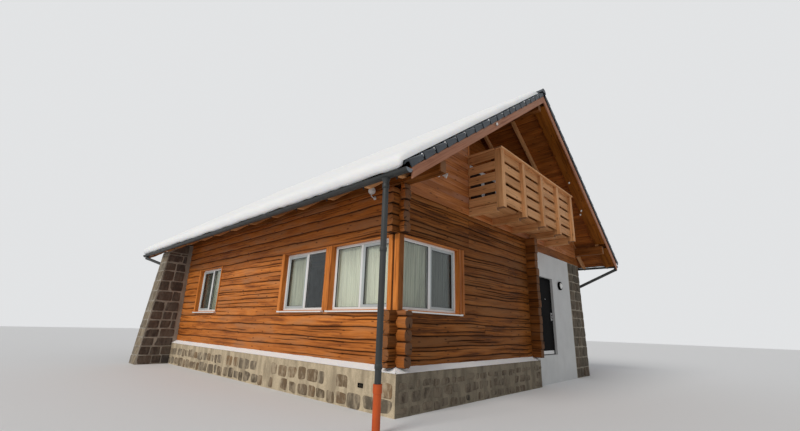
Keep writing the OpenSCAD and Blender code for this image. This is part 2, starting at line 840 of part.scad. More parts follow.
// White frame: outer ring, mullion and one opening sash on the right
module window_frame(w, h) {
    translate([lining_t, frame_setback, lining_t]) {
        fw = w - 2 * lining_t;
        fh = h - 2 * lining_t;
        ring(fw, fh, frame_b, 0, frame_d);
        box(fw / 2 - frame_b / 2, fw / 2 + frame_b / 2, 0, frame_d, frame_b, fh - frame_b);
        translate([fw / 2 + frame_b / 2 - EPS, 0, frame_b - EPS])
            ring(fw / 2 - 1.5 * frame_b + 2 * EPS, fh - 2 * frame_b + 2 * EPS, sash_b + EPS,
                 -10, frame_d - 10);
    }
}

module window_panes(w, h) {
    translate([lining_t, frame_setback + 20, lining_t]) {
        fw = w - 2 * lining_t;
        fh = h - 2 * lining_t;
        box(frame_b, fw / 2 - frame_b / 2, 0, glass_t, frame_b, fh - frame_b);
        box(fw / 2 + frame_b / 2 + sash_b, fw - frame_b - sash_b, 0, glass_t,
            frame_b + sash_b, fh - frame_b - sash_b);
    }
}

// Sill from sill_x0 to past the right jamb, in front of the wall
module white_sill(w, sill_x0) {
    sill_t = 25;
    box(sill_x0, w + sill_side, -sill_out, 0, -sill_t, 0);
}

// Places a piece at every window; which picks the piece and depth is the wall's thickness.
// The left wall's sills run on past the far casings; the corner window's clears the log ends.
sill_side = 20;
left_sill_over = [90, 150, 150];
module window_piece(which, w, h, depth, sill_x0 = -sill_side) {
    if (which == "lining") lining(w, h, depth);
    if (which == "frame") window_frame(w, h);
    if (which == "panes") window_panes(w, h);
    if (which == "sill") white_sill(w, sill_x0);
}

module all_windows(which) {
    for (i = [0:2]) let (w = left_windows[i])
        on_left(w[0] + w[1]) translate([0, 0, sill_z])
            window_piece(which, w[1], window_h, log_t, -left_sill_over[i]);
    translate([corner_post_x, 0, sill_z])
        window_piece(which, gable_window_w, window_h, log_t, log_t - corner_post_x);
    for (w = right_windows)
        on_right(w[0]) translate([0, 0, sill_z]) window_piece(which, w[1], window_h, log_t);
    for (w = rear_windows)
        on_rear(w[0] + w[1]) translate([0, 0, sill_z]) window_piece(which, w[1], window_h, rear_wall_t);
    on_rear(mid_x + rear_gable_window_w / 2) translate([0, 0, rear_gable_window_z])
        window_piece(which, rear_gable_window_w, rear_gable_window_h, gable_t + 60);
}

module window_linings() { color(trim_c) at_house() all_windows("lining"); }
module window_sills() { color(white_c) at_house() all_windows("sill"); }
module window_frames() { color(white_c) at_house() all_windows("frame"); }
module window_glass() { color([0.6, 0.7, 0.75]) at_house() all_windows("panes"); }

// Glazed door and side light in the recess, as one fixed frame with its glass
module balcony_door() {
    w = recess_door_w + recess_window_w;
    h = recess_door_z1 - recess_z0;
    color(white_c) at_house() translate([recess_door_x, recess_d + 20, recess_z0]) {
        ring(w, h, 70, 0, frame_d);
        box(recess_door_w, recess_door_w + 60, 0, frame_d, 60, h - 60);
        box(60, w - 60, 30, 30 + glass_t, 60, h - 60);
    }
}

// Entrance door

// Hinge knuckle on its flap, which reaches from the pin to x = flap_x
module knuckle(z, flap_x) {
    translate([hinge_x, hinge_y, z]) cylinder(h = knuckle_h, r = hinge_r);
    box(min(hinge_x, flap_x), max(hinge_x, flap_x), leaf_y - 5, leaf_y, z, z + knuckle_h);
}

module door_frame() {
    frame_t = 90;
    color(dark_c) at_house() {
        difference() {
            box(door_x, door_x + door_w, door_setback, door_setback + frame_t, 0, door_head);
            box(door_x + door_frame_b, door_x + door_w - door_frame_b, door_setback - EPS,
                door_setback + frame_t + EPS, -EPS, door_head - door_frame_b);
        }
        for (z = hinge_zs) knuckle(z, leaf_x - leaf_gap - 25);
    }
}

// Steel leaf with two raised panels, on its hinge knuckles
module door_leaf() {
    panel_m = 120;
    relief = 6;
    color(dark_c) at_house() translate([leaf_x, leaf_y, leaf_gap]) {
        box(0, door_leaf_w, 0, leaf_t, 0, door_leaf_h);
        box(panel_m, door_leaf_w - panel_m, -relief, 0, panel_m, 0.42 * door_leaf_h);
        box(panel_m, door_leaf_w - panel_m, -relief, 0, 0.5 * door_leaf_h, door_leaf_h - panel_m);
    }
    color(dark_c) at_house() for (z = hinge_zs) knuckle(z + knuckle_h + 1, leaf_x + 30);
}

handle_z = 1000;
module door_handle() {
    plate_x = leaf_x + door_leaf_w - 80;
    color([0.7, 0.7, 0.7]) at_house() {
        box(plate_x, plate_x + 40, leaf_y - 6, leaf_y, handle_z - 110, handle_z + 110);
        translate([plate_x + 20, leaf_y - 6, handle_z]) rotate([90, 0, 0]) cylinder(h = 50, r = 10);
        translate([plate_x + 20, leaf_y - 56, handle_z]) rotate([0, -90, 0]) cylinder(h = 120, r = 9);
    }
}

// Round wall lamp beside the door
module porch_lamp() {
    color(dark_c) at_house() translate([lamp_x, 0, lamp_z]) rotate([90, 0, 0]) {
        cylinder(h = 60, r = 120);
        translate([0, 0, 60]) cylinder(h = 25, r = 80);
    }
}

plinth_left();
plinth_front();
plinth_right();
ground_floor();
log_wall_left();
log_wall_front();
log_wall_right();
entrance_log_ends();
window_posts();
entrance_walls();
entrance_wall_head();
entrance_beam();
front_right_pier();
rear_wall();
upper_floor();
wall_plates();
ridge_beam();
front_gable_left();
front_gable_right();
recess_walls();
rear_gable();
rafters_left();
rafters_right();
roof_deck_left();
roof_deck_right();
roof_tiles_left();
roof_tiles_right();
ridge_tiles();
roof_snow_left();
roof_snow_right();
bargeboards();
gutter_left();
gutter_right();
downpipe();
downpipe_foot();
rear_downpipe();
right_downpipe();
balcony_joists();
joist_blocking();
balcony_floor();
balcony_posts();
balcony_panels();
balcony_rail();
window_linings();
window_sills();
window_frames();
window_glass();
balcony_door();
door_frame();
door_leaf();
door_handle();
porch_lamp();
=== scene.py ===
"""Alpine chalet: log faces, stones, tiles, boards, snow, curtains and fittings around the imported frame.

House coordinates, in metres: x runs along the gable from the left log face, y back from the
gable's log face and z up from the ground-floor level. Mesh.build and curtain move them to the frame.
A place function turns (s, d, z), the way along a wall, into it and up, into house coordinates.
"""

import math
import random

import bmesh
import bpy
from mathutils import Matrix, Vector, noise


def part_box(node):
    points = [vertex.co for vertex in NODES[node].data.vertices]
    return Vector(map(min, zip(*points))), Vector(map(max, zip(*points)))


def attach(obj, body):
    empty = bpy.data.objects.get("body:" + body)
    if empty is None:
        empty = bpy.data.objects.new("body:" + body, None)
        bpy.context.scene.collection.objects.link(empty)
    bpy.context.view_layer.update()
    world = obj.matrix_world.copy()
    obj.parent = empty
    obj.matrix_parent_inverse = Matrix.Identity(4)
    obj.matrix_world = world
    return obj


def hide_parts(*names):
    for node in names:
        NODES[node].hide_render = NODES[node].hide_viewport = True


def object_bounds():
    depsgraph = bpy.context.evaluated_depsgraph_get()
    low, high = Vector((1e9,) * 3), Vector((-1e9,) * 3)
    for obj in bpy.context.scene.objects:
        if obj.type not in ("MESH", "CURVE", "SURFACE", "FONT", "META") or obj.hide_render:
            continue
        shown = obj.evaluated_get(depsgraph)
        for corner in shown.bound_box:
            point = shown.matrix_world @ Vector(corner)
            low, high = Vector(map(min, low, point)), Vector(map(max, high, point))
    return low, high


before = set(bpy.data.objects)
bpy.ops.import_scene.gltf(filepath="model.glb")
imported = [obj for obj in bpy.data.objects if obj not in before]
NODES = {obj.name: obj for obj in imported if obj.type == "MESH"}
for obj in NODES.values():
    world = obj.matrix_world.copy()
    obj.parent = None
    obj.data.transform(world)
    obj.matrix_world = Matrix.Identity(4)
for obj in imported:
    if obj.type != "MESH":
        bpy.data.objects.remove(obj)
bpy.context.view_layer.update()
ORIGIN = Vector((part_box("log_wall_left")[0].x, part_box("log_wall_front")[0].y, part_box("ground_floor")[1].z))


def house_box(node):
    """Lowest and highest corner of a CAD node in house coordinates."""
    low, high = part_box(node)
    return low - ORIGIN, high - ORIGIN


# Walls
LOG_T = 0.18
COURSE = 0.20
WALL_LOW, WALL_HIGH = house_box("log_wall_left")
WALL_Z0, SIDE_Z1 = WALL_LOW.z, WALL_HIGH.z
LOG_END, LOG_D = -WALL_LOW.y, WALL_HIGH.y
UPPER_END = 0.105
FRONT_Z1 = house_box("log_wall_front")[1].z
HOUSE_W = house_box("log_wall_right")[1].x
HOUSE_D = house_box("rear_wall")[1].y
CROSS_LOW = house_box("entrance_log_ends")[0]
CROSS_X, CROSS_END = CROSS_LOW.x, -CROSS_LOW.y
PIER_LOW, PIER_HIGH = house_box("front_right_pier")
PIER_X, PIER_D = PIER_LOW.x, PIER_HIGH.y
PLINTH_LOW = house_box("plinth_left")[0]
GROUND_Z, PLINTH_OUT = PLINTH_LOW.z, -PLINTH_LOW.x
LEDGE_Z = -0.08
SILL_Z, HEAD_Z = (corner.z for corner in house_box("window_posts"))
GABLE_T = 0.12
WING_BATTER = 0.099

# Windows: start and width along the wall, opening sash, nets behind the near and the far light,
# width of the boards beside it and how far its sill runs past it
# The bright and the dim net are one net painted lighter or darker for how much daylight reaches each window:
# painted light and painted shade
NET, NET_SHADED, NET_LIT = "curtain_net", "curtain_net_shaded", "curtain_net_lit"
WINDOWS = {
    "left_1": (0.23, 1.62, "near", (NET_LIT, NET_LIT), (0.0, 0.0), 0.015),
    "left_2": (2.02, 1.62, "far", (None, NET), (0.0, 0.085), 0.0),
    "left_3": (7.04, 1.535, "far", (NET, NET_SHADED), (0.025, 0.06), 0.0),
    "gable": (0.11, 1.69, "far", (NET, NET_SHADED), (0.0, 0.0), 0.02),
    "right_1": (2.02, 1.62, "far", (NET, NET), (0.13, 0.16), 0.02),
    "right_2": (7.04, 1.535, "far", (NET, NET), (0.13, 0.16), 0.02),
    "rear_1": (1.958, 1.00, "far", (NET, NET), (0.0, 0.0), 0.02),
    "rear_2": (5.874, 1.00, "far", (NET, NET), (0.0, 0.0), 0.02),
    "rear_gable": (3.90, 1.10, "far", (NET, NET), (0.05, 0.05), 0.02),
}
SPANS = {name: (row[0], row[0] + row[1]) for name, row in WINDOWS.items()}
REAR_GABLE_SILL, REAR_GABLE_HEAD = 4.10, 5.20
FRAME_SETBACK = 0.09
NET_DEPTH = 0.178
SILL_OUT = 0.065
LINING = 0.02
ROD_OUT = 0.09
# Width of a curtain's folds and how far they swell out
NET_FOLDS = (0.062, 0.010)
DRAPE_FOLDS = (0.09, 0.022)
DRAPE_B, DRAPE_PAST = 0.20, 0.04

# Roof
SIDES = ("left", "right")
PITCH = math.radians(36)
SLOPE, RISE, RUN = math.tan(PITCH), math.sin(PITCH), math.cos(PITCH)
DECK_LOW, DECK_HIGH = house_box("roof_deck_left")
EAVE_X, RIDGE_Z = DECK_LOW.x, DECK_HIGH.z
MID_X = HOUSE_W / 2
SLOPE_LENGTH = (MID_X - EAVE_X) / RUN
ROOF_Y0, ROOF_Y1 = (corner.y for corner in house_box("bargeboards"))
DECK_T = 0.022
RAFTER_D = 0.12
RAFTER_B = 0.08
RAFTER_YS = [-0.70] + [0.04 + 0.97 * i for i in range(12)] + [11.30]
TAIL_RUN, TAIL_H = 0.16, 0.05
BARGE_T, BARGE_H = 0.03, 0.19
VERGE_BOARD_T = 0.018
TILE_ROWS = 18
TILE_COLUMNS = 42
TILE_CREST = 0.125
TILE_OVER = 0.03
VERGE_TILE_T = 0.022
VERGE_GAP = 0.062
SNOW_T = 0.13
SNOW_INSET = 0.085
GUTTER_R = 0.062
SLEEVE_YS = (1.95, 5.83, 9.71)
INSULATOR_X = 1.72
HUNG_INSULATORS = [(6.60, -0.75), (7.50, -0.735), (7.62, -0.66)]
EAVE_LIGHT_AT = (-0.10, 0.65, 3.05)
FLOODLIGHT_AT = (1.06, -0.022, 3.58)
VENT_Y, VENT_Z = 0.655, -0.325
PEEPHOLE_Z, HANDLE_Z, LOCK_Z = 1.47, 1.085, 0.925
HANDLE_X = 6.454

# Balcony
FLOOR_LOW, FLOOR_HIGH = house_box("balcony_floor")
BALCONY_X0, BALCONY_X1 = FLOOR_LOW.x, FLOOR_HIGH.x
RECESS_D, RECESS_Z0 = FLOOR_HIGH.y, FLOOR_HIGH.z
RECESS_DOOR = (3.90, 5.80, RECESS_Z0 + 2.05)
POST_PITCH = 1.0
POST_B = 0.13
POST_XS = [BALCONY_X0 + i * POST_PITCH for i in range(5)]
BALCONY_OUT = 0.68
DECK_BOARD_B = 0.135
SLAT_H, SLAT_GAP, SLAT_T = 0.186, 0.064, 0.03
RAIL_B = 0.19
CHANCE = random.Random(8)


def lerp(a, b, t):
    return a + (b - a) * t


def smooth(t):
    t = min(max(t, 0.0), 1.0)
    return t * t * (3 - 2 * t)


def ripple(x, y, z):
    """Smooth noise, from about -1 to 1."""
    return noise.noise(Vector((x, y, z)))


def mm(*numbers, past=0.0):
    """Pairs of measures that are given in millimetres, the second of each counted on from past."""
    return [(a / 1000, past + b / 1000) for a, b in zip(numbers[::2], numbers[1::2])]


def sided(x, side):
    """A place on the left (side 0) or its mirror image on the right (side 1)."""
    return HOUSE_W - x if side else x


def rings(count, size, closed=True):
    """Faces between count rings, or open rows, of size points each."""
    faces = []
    for i in range(count - 1):
        for j in range(size if closed else size - 1):
            k = (j + 1) % size
            faces.append((i * size + j, i * size + k, (i + 1) * size + k, (i + 1) * size + j))
    return faces


def placed(name, data):
    """New object in the scene."""
    made = bpy.data.objects.new(name, data)
    bpy.context.scene.collection.objects.link(made)
    return made


def grain_layer(mesh, grain):
    """Stores each vertex's coordinates along and across the fibre."""
    layer = mesh.uv_layers.new(name="grain")
    corners = [0] * len(mesh.loops)
    mesh.loops.foreach_get("vertex_index", corners)
    layer.data.foreach_set("uv", [x for i in corners for x in grain[i]])
    mesh.polygons.foreach_set("use_smooth", [True] * len(mesh.polygons))


class Mesh:
    """Vertices and faces of one piece in house coordinates.

    grain holds two coordinates in metres along and across the fibre, tone a number for the
    whole log, board or stone, and shade how much darker it is painted: mostly painted shade in a crack, seam,
    joint or corner, with some dirt."""

    def __init__(self):
        self.verts, self.faces, self.grain, self.tone, self.shade, self.slots = [], [], [], [], [], []

    def add(self, verts, faces, grain, tone=0.5, shade=None, slot=0):
        start = len(self.verts)
        self.verts.extend(verts)
        self.faces.extend(tuple(start + i for i in face) for face in faces)
        self.grain.extend(grain)
        self.tone.extend([tone] * len(verts))
        self.shade.extend(shade or [0.0] * len(verts))
        self.slots.extend(slot if isinstance(slot, list) else [slot] * len(faces))

    def build(self, name, finish, slot, replaces="", sharp=35, body="house"):
        """Makes the piece; finish and replaces are names of materials and nodes with spaces between."""
        mesh = bpy.data.meshes.new(name)
        mesh.from_pydata([ORIGIN + Vector(v) for v in self.verts], [], self.faces)
        for material in finish.split():
            mesh.materials.append(M[material])
        mesh.polygons.foreach_set("material_index", self.slots)
        for label, values in (("tone", self.tone), ("shade", self.shade)):
            mesh.attributes.new(label, "FLOAT", "POINT").data.foreach_set("value", values)
        grain_layer(mesh, self.grain)
        shell = bmesh.new()
        shell.from_mesh(mesh)
        bmesh.ops.recalc_face_normals(shell, faces=shell.faces)
        shell.to_mesh(mesh)
        shell.free()
        mesh.set_sharp_from_angle(angle=math.radians(sharp))
        piece = placed(name, mesh)
        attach(piece, body)
        if replaces:
            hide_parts(*replaces.split())
        return piece


# Materials

M = {}
DULL = {"Specular_IOR_Level": 0.2}


def tint(colour, share):
    return tuple(min(1.0, c * share) for c in colour)


class Shader:
    """A material's node tree, with short calls to add nodes. M holds the material by its name."""

    def __init__(self, name):
        self.material = M[name] = bpy.data.materials.new(name)
        self.material.use_nodes = True
        self.tree = self.material.node_tree
        self.tree.nodes.clear()
        self.out = self.tree.nodes.new("ShaderNodeOutputMaterial")

    def node(self, kind, props=None, **inputs):
        """New node; an input is called by its name, or by its number after a line."""
        made = self.tree.nodes.new("ShaderNode" + kind)
        for key, value in (props or {}).items():
            setattr(made, key, value)
        for key, value in inputs.items():
            socket = made.inputs[int(key[1:])] if key[0] == "_" else made.inputs[key.replace("_", " ")]
            if isinstance(value, bpy.types.NodeSocket):
                self.tree.links.new(value, socket)
            elif isinstance(value, tuple) and len(value) == 3 and len(socket.default_value) == 4:
                socket.default_value = value + (1.0,)
            else:
                socket.default_value = value
        return made

    def math(self, operation, a, b, clamp=False):
        return self.node("Math", {"operation": operation, "use_clamp": clamp}, _0=a, _1=b).outputs[0]

    def times(self, a, b, clamp=False):
        return self.math("MULTIPLY", a, b, clamp)

    def both(self, a, b, share):
        """Sum of two values, a with its share and b with the rest."""
        return self.math("ADD", self.times(a, share), self.times(b, 1 - share))

    def mix(self, factor, a, b):
        return self.node("Mix", {"data_type": "RGBA"}, Factor=factor, _6=a, _7=b).outputs[2]

    def ramp(self, value, *stops):
        made = self.node("ValToRGB", Fac=value)
        elements = made.color_ramp.elements
        while len(elements) < len(stops):
            elements.new(0.5)
        for element, (place, colour) in zip(elements, stops):
            element.position = place
            element.color = colour + (1.0,)
        return made.outputs[0]

    def span(self, value, low, high, to_low=0.0, to_high=1.0):
        return self.node("MapRange", {"clamp": True}, Value=value, From_Min=low, From_Max=high,
                         To_Min=to_low, To_Max=to_high).outputs[0]

    def noise(self, vector, scale, detail=4.0, rough=0.55, **inputs):
        moved = self.node("Mapping", Vector=vector, Scale=scale).outputs[0]
        return self.node("TexNoise", Vector=moved, Scale=1.0, Detail=detail, Roughness=rough,
                         **inputs).outputs[0]

    def attribute(self, name):
        return self.node("Attribute", {"attribute_name": name}).outputs["Fac"]

    # Darkens the colour towards the given dark colour by the shade attribute: painted shade in cracks, seams,
    # joints and corners, with some dirt
    def darkened(self, colour, amount, shade_and_dirt):
        return self.mix(self.times(self.attribute("shade"), amount, True), colour, shade_and_dirt)

    def grain(self):
        """Coordinates along and across the fibre, shifted from piece to piece by its tone."""
        uv = self.node("UVMap", {"uv_map": "grain"}).outputs[0]
        split = self.node("SeparateXYZ", Vector=uv)
        depth = self.times(self.attribute("tone"), 40.0)
        return self.node("CombineXYZ", X=split.outputs[0], Y=split.outputs[1], Z=depth).outputs[0]

    def place(self):
        return self.node("TexCoord").outputs["Object"]

    def bumped(self, height=None, bump=0.3, depth=0.002, **inputs):
        """Principled shader whose bumps follow height, where it is given."""
        shader = self.node("BsdfPrincipled", **inputs)
        if height is not None:
            normal = self.node("Bump", Height=height, Strength=bump, Distance=depth).outputs[0]
            self.tree.links.new(normal, shader.inputs["Normal"])
        return shader

    def show(self, shader):
        self.tree.links.new(shader.outputs[0], self.out.inputs[0])

    def surface(self, *relief, **inputs):
        self.show(self.bumped(*relief, **inputs))


def wood(name, shades, grey=(0.20, 0.135, 0.095), worn=0.25, gloss=0.45, axis=None, knots=True, sheen=0.16):
    """Varnished softwood: streaks along the fibre, broad patches, knots, and painted shade with some dirt in the
    cracks and seams.

    axis is the fibre's direction for a CAD node, which has no grain coordinates."""
    light, middle, dark = shades
    s = Shader(name)
    if axis is None:
        at, tone, shade = s.grain(), s.attribute("tone"), s.attribute("shade")
    else:
        at = s.node("Mapping", {"vector_type": "POINT"}, Vector=s.place(), Rotation=axis).outputs[0]
        tone, shade = s.noise(at, (0.15, 7, 7), 0.0), 0.0
    streaks = s.noise(at, (1.1, 34, 34), 6.0, 0.65, Distortion=0.5)
    patches = s.noise(at, (0.8, 3.5, 3.5), 3.0)
    tone_weight = s.noise(at, (0.30, 1.6, 1.6), 4.0, 0.6)
    fine = s.noise(at, (6, 160, 160), 3.0)
    colour = s.ramp(s.both(streaks, patches, 0.6),
                    (0.39, dark), (0.47, middle), (0.56, light), (0.68, tint(light, 1.25)))
    dulled = tuple(lerp(a, b, 0.35) for a, b in zip(dark, middle))
    colour = s.mix(s.span(tone_weight, 0.50, 0.64, 0.0, 1.6 * worn), colour, dulled)
    colour = s.mix(s.times(s.span(streaks, 0.60, 0.68), 0.45), colour, dark)
    colour = s.mix(s.span(tone, 0.0, 1.0, 0.50, 0.0), colour, dark)
    colour = s.mix(s.times(s.span(patches, 0.50, 0.66), worn), colour, grey)
    if knots:
        spots = s.node("Mapping", Vector=at, Scale=(1.5, 5.2, 1)).outputs[0]
        cell = s.node("TexVoronoi", {"voronoi_dimensions": "2D"}, Vector=spots, Scale=1.0, Randomness=1.0)
        colour = s.mix(s.span(cell.outputs["Distance"], 0.035, 0.075, 0.8, 0.0), colour, tint(dark, 0.45))
    # Painted shade, with some dirt, darkens the wood where the shade attribute is high: cracks, seams and shaded
    # corners
    colour = s.mix(s.times(shade, 0.93, True), colour, (0.022, 0.010, 0.006))
    rough = s.span(fine, 0.3, 0.7, gloss, gloss + 0.22)
    s.surface(s.both(streaks, fine, 0.7), 0.55, 0.003, Base_Color=colour, Roughness=rough,
              Specular_IOR_Level=sheen)


def end_grain(name, light, dark, grey):
    """Sawn end of a log or board: year rings round the heart, grey with weather."""
    s = Shader(name)
    at = s.grain()
    wobble = s.noise(at, (9, 9, 1), 2.0)
    year = s.node("TexWave", {"wave_type": "RINGS", "rings_direction": "Z"}, Vector=at, Scale=26.0,
                  Distortion=3.0, Detail=2.0).outputs[1]
    colour = s.mix(year, dark, light)
    colour = s.mix(s.span(wobble, 0.35, 0.6, 0.15, 0.75), colour, grey)
    # Painted shade darkens the radial check; the shade attribute also darkens the ends of the lower logs all
    # over
    colour = s.darkened(colour, 0.95, (0.02, 0.012, 0.008))
    s.surface(year, 0.35, 0.002, Base_Color=colour, Roughness=0.8, Specular_IOR_Level=0.15)


def stone(name, colours, speck, smear, smeared, bare=0.46):
    """Natural stone: each block picks its own colour by its tone, mottled and rough.

    smear is the colour of mortar wiped over the stones in upright streaks, smeared how thickly and
    bare how much of them stays free of it."""
    s = Shader(name)
    at = s.place()
    base = s.ramp(s.attribute("tone"), *[(i / len(colours), c) for i, c in enumerate(colours)])
    mottle = s.noise(at, (7, 7, 11), 6.0, 0.65)
    fine = s.noise(at, (55, 55, 70), 5.0, 0.7)
    colour = s.mix(s.span(mottle, 0.35, 0.65, 0.0, 0.55), base, speck)
    colour = s.mix(s.span(fine, 0.52, 0.72, 0.0, 0.30), colour, tint(colours[-1], 1.7))
    wiped = s.noise(at, (9, 9, 3.2), 6.0, 0.7)
    colour = s.mix(s.span(wiped, bare, bare + 0.14, 0.0, smeared), colour, smear)
    # Painted shade darkens each stone round its foot, where the shade attribute is set
    colour = s.darkened(colour, 0.8, (0.05, 0.045, 0.04))
    s.surface(s.both(mottle, fine, 0.5), 0.9, 0.008, Base_Color=colour, Roughness=0.9, **DULL)


def mortar(name, light, dark, stain):
    """Trowelled mortar with damp stains."""
    s = Shader(name)
    at = s.place()
    broad = s.noise(at, (5.0, 5.0, 1.6), 6.0, 0.6)
    fine = s.noise(at, (45, 45, 45), 5.0, 0.7)
    colour = s.ramp(broad, (0.36, dark), (0.58, light))
    colour = s.mix(s.span(fine, 0.45, 0.75, 0.0, 0.5), colour, stain)
    s.surface(s.both(broad, fine, 0.5), 0.8, 0.007, Base_Color=colour, Roughness=0.93, **DULL)


def plain(name, colour, roughness, spread=0.08, grime=None, scale=14.0, bump=0.05, **inputs):
    """Painted, moulded or cast finish: faint mottling, uneven gloss and a trace of grime."""
    s = Shader(name)
    at = s.place()
    broad = s.noise(at, (2.0, 2.0, 2.0))
    fine = s.noise(at, (scale * 6,) * 3, 3.0)
    shown = s.ramp(broad, (0.3, tint(colour, 1 - 2.2 * spread)), (0.7, tint(colour, 1 + spread)))
    if grime:
        streaks = s.noise(at, (scale, scale, scale * 0.3), 5.0)
        shown = s.mix(s.span(streaks, 0.5, 0.8, 0.0, 0.5), shown, grime)
    rough = s.span(fine, 0.3, 0.7, roughness - 0.05, roughness + 0.08)
    s.surface(fine, bump, 0.001, Base_Color=shown, Roughness=rough, **inputs)


def snow_material():
    """Settled snow: near white, softly shaded, with fine sparkle-free grain."""
    s = Shader("snow")
    at = s.place()
    broad = s.noise(at, (1.6, 1.6, 1.6))
    fine = s.noise(at, (60, 60, 60), 4.0, 0.7)
    colour = s.ramp(broad, (0.3, (0.88, 0.90, 0.93)), (0.7, (0.94, 0.945, 0.95)))
    s.surface(s.both(broad, fine, 0.7), 0.35, 0.02, Base_Color=colour, Roughness=0.85,
              Subsurface_Weight=0.15, Subsurface_Radius=(0.05, 0.06, 0.08))


def glass_material():
    """Double glazing: a thin film that mirrors the sky at low angles and shows the curtains behind."""
    s = Shader("glass")
    clear = s.node("BsdfTransparent", Color=(0.955, 0.975, 0.965))
    mirror = s.node("BsdfGlossy", Color=(0.92, 0.95, 0.97), Roughness=0.015)
    grazing = s.math("POWER", s.node("LayerWeight", Blend=0.5).outputs["Facing"], 5.0)
    share = s.math("ADD", s.times(grazing, 0.9), 0.035, True)
    s.show(s.node("MixShader", Fac=share, _1=clear.outputs[0], _2=mirror.outputs[0]))


def curtain_material(name, colour, fold_shade):
    """Light curtain that lets some daylight through, with its upright folds darkened as painted shade, as
    strongly as pattern says.
    """
    s = Shader(name)
    at = s.grain()
    weave = s.noise(at, (240, 240, 1), 2.0)
    fold = s.noise(at, (0.6, 7, 1), 4.0, 0.6)
    # Painted shade in the folds: darker where the fold noise is high
    shown = s.mix(s.span(fold, 0.42, 0.60, 0.0, fold_shade), colour, tint(colour, 0.45))
    body = s.bumped(weave, 0.3, 0.001, Base_Color=shown, Roughness=0.9, Specular_IOR_Level=0.1)
    glow = s.node("BsdfTranslucent", Color=shown)
    s.show(s.node("MixShader", Fac=0.15, _1=body.outputs[0], _2=glow.outputs[0]))


# Light, middle and dark shade of each wood
ORANGE = ((0.80, 0.275, 0.055), (0.60, 0.188, 0.032), (0.24, 0.066, 0.012))
BROWN = ((0.37, 0.126, 0.024), (0.24, 0.076, 0.013), (0.080, 0.024, 0.004))
TAN = ((0.81, 0.43, 0.195), (0.65, 0.322, 0.133), (0.40, 0.180, 0.066))
PINKISH = ((0.58, 0.28, 0.170), (0.47, 0.21, 0.125), (0.28, 0.110, 0.060))
# Honey wood under the verges, painted darker as shade against the light from below
HONEY_SHADED = ((0.33, 0.110, 0.014), (0.24, 0.074, 0.009), (0.12, 0.033, 0.005))
SOFFIT = ((0.45, 0.140, 0.022), (0.30, 0.086, 0.013), (0.14, 0.040, 0.007))
WEATHERED = ((0.66, 0.255, 0.080), (0.48, 0.165, 0.044), (0.24, 0.076, 0.018))


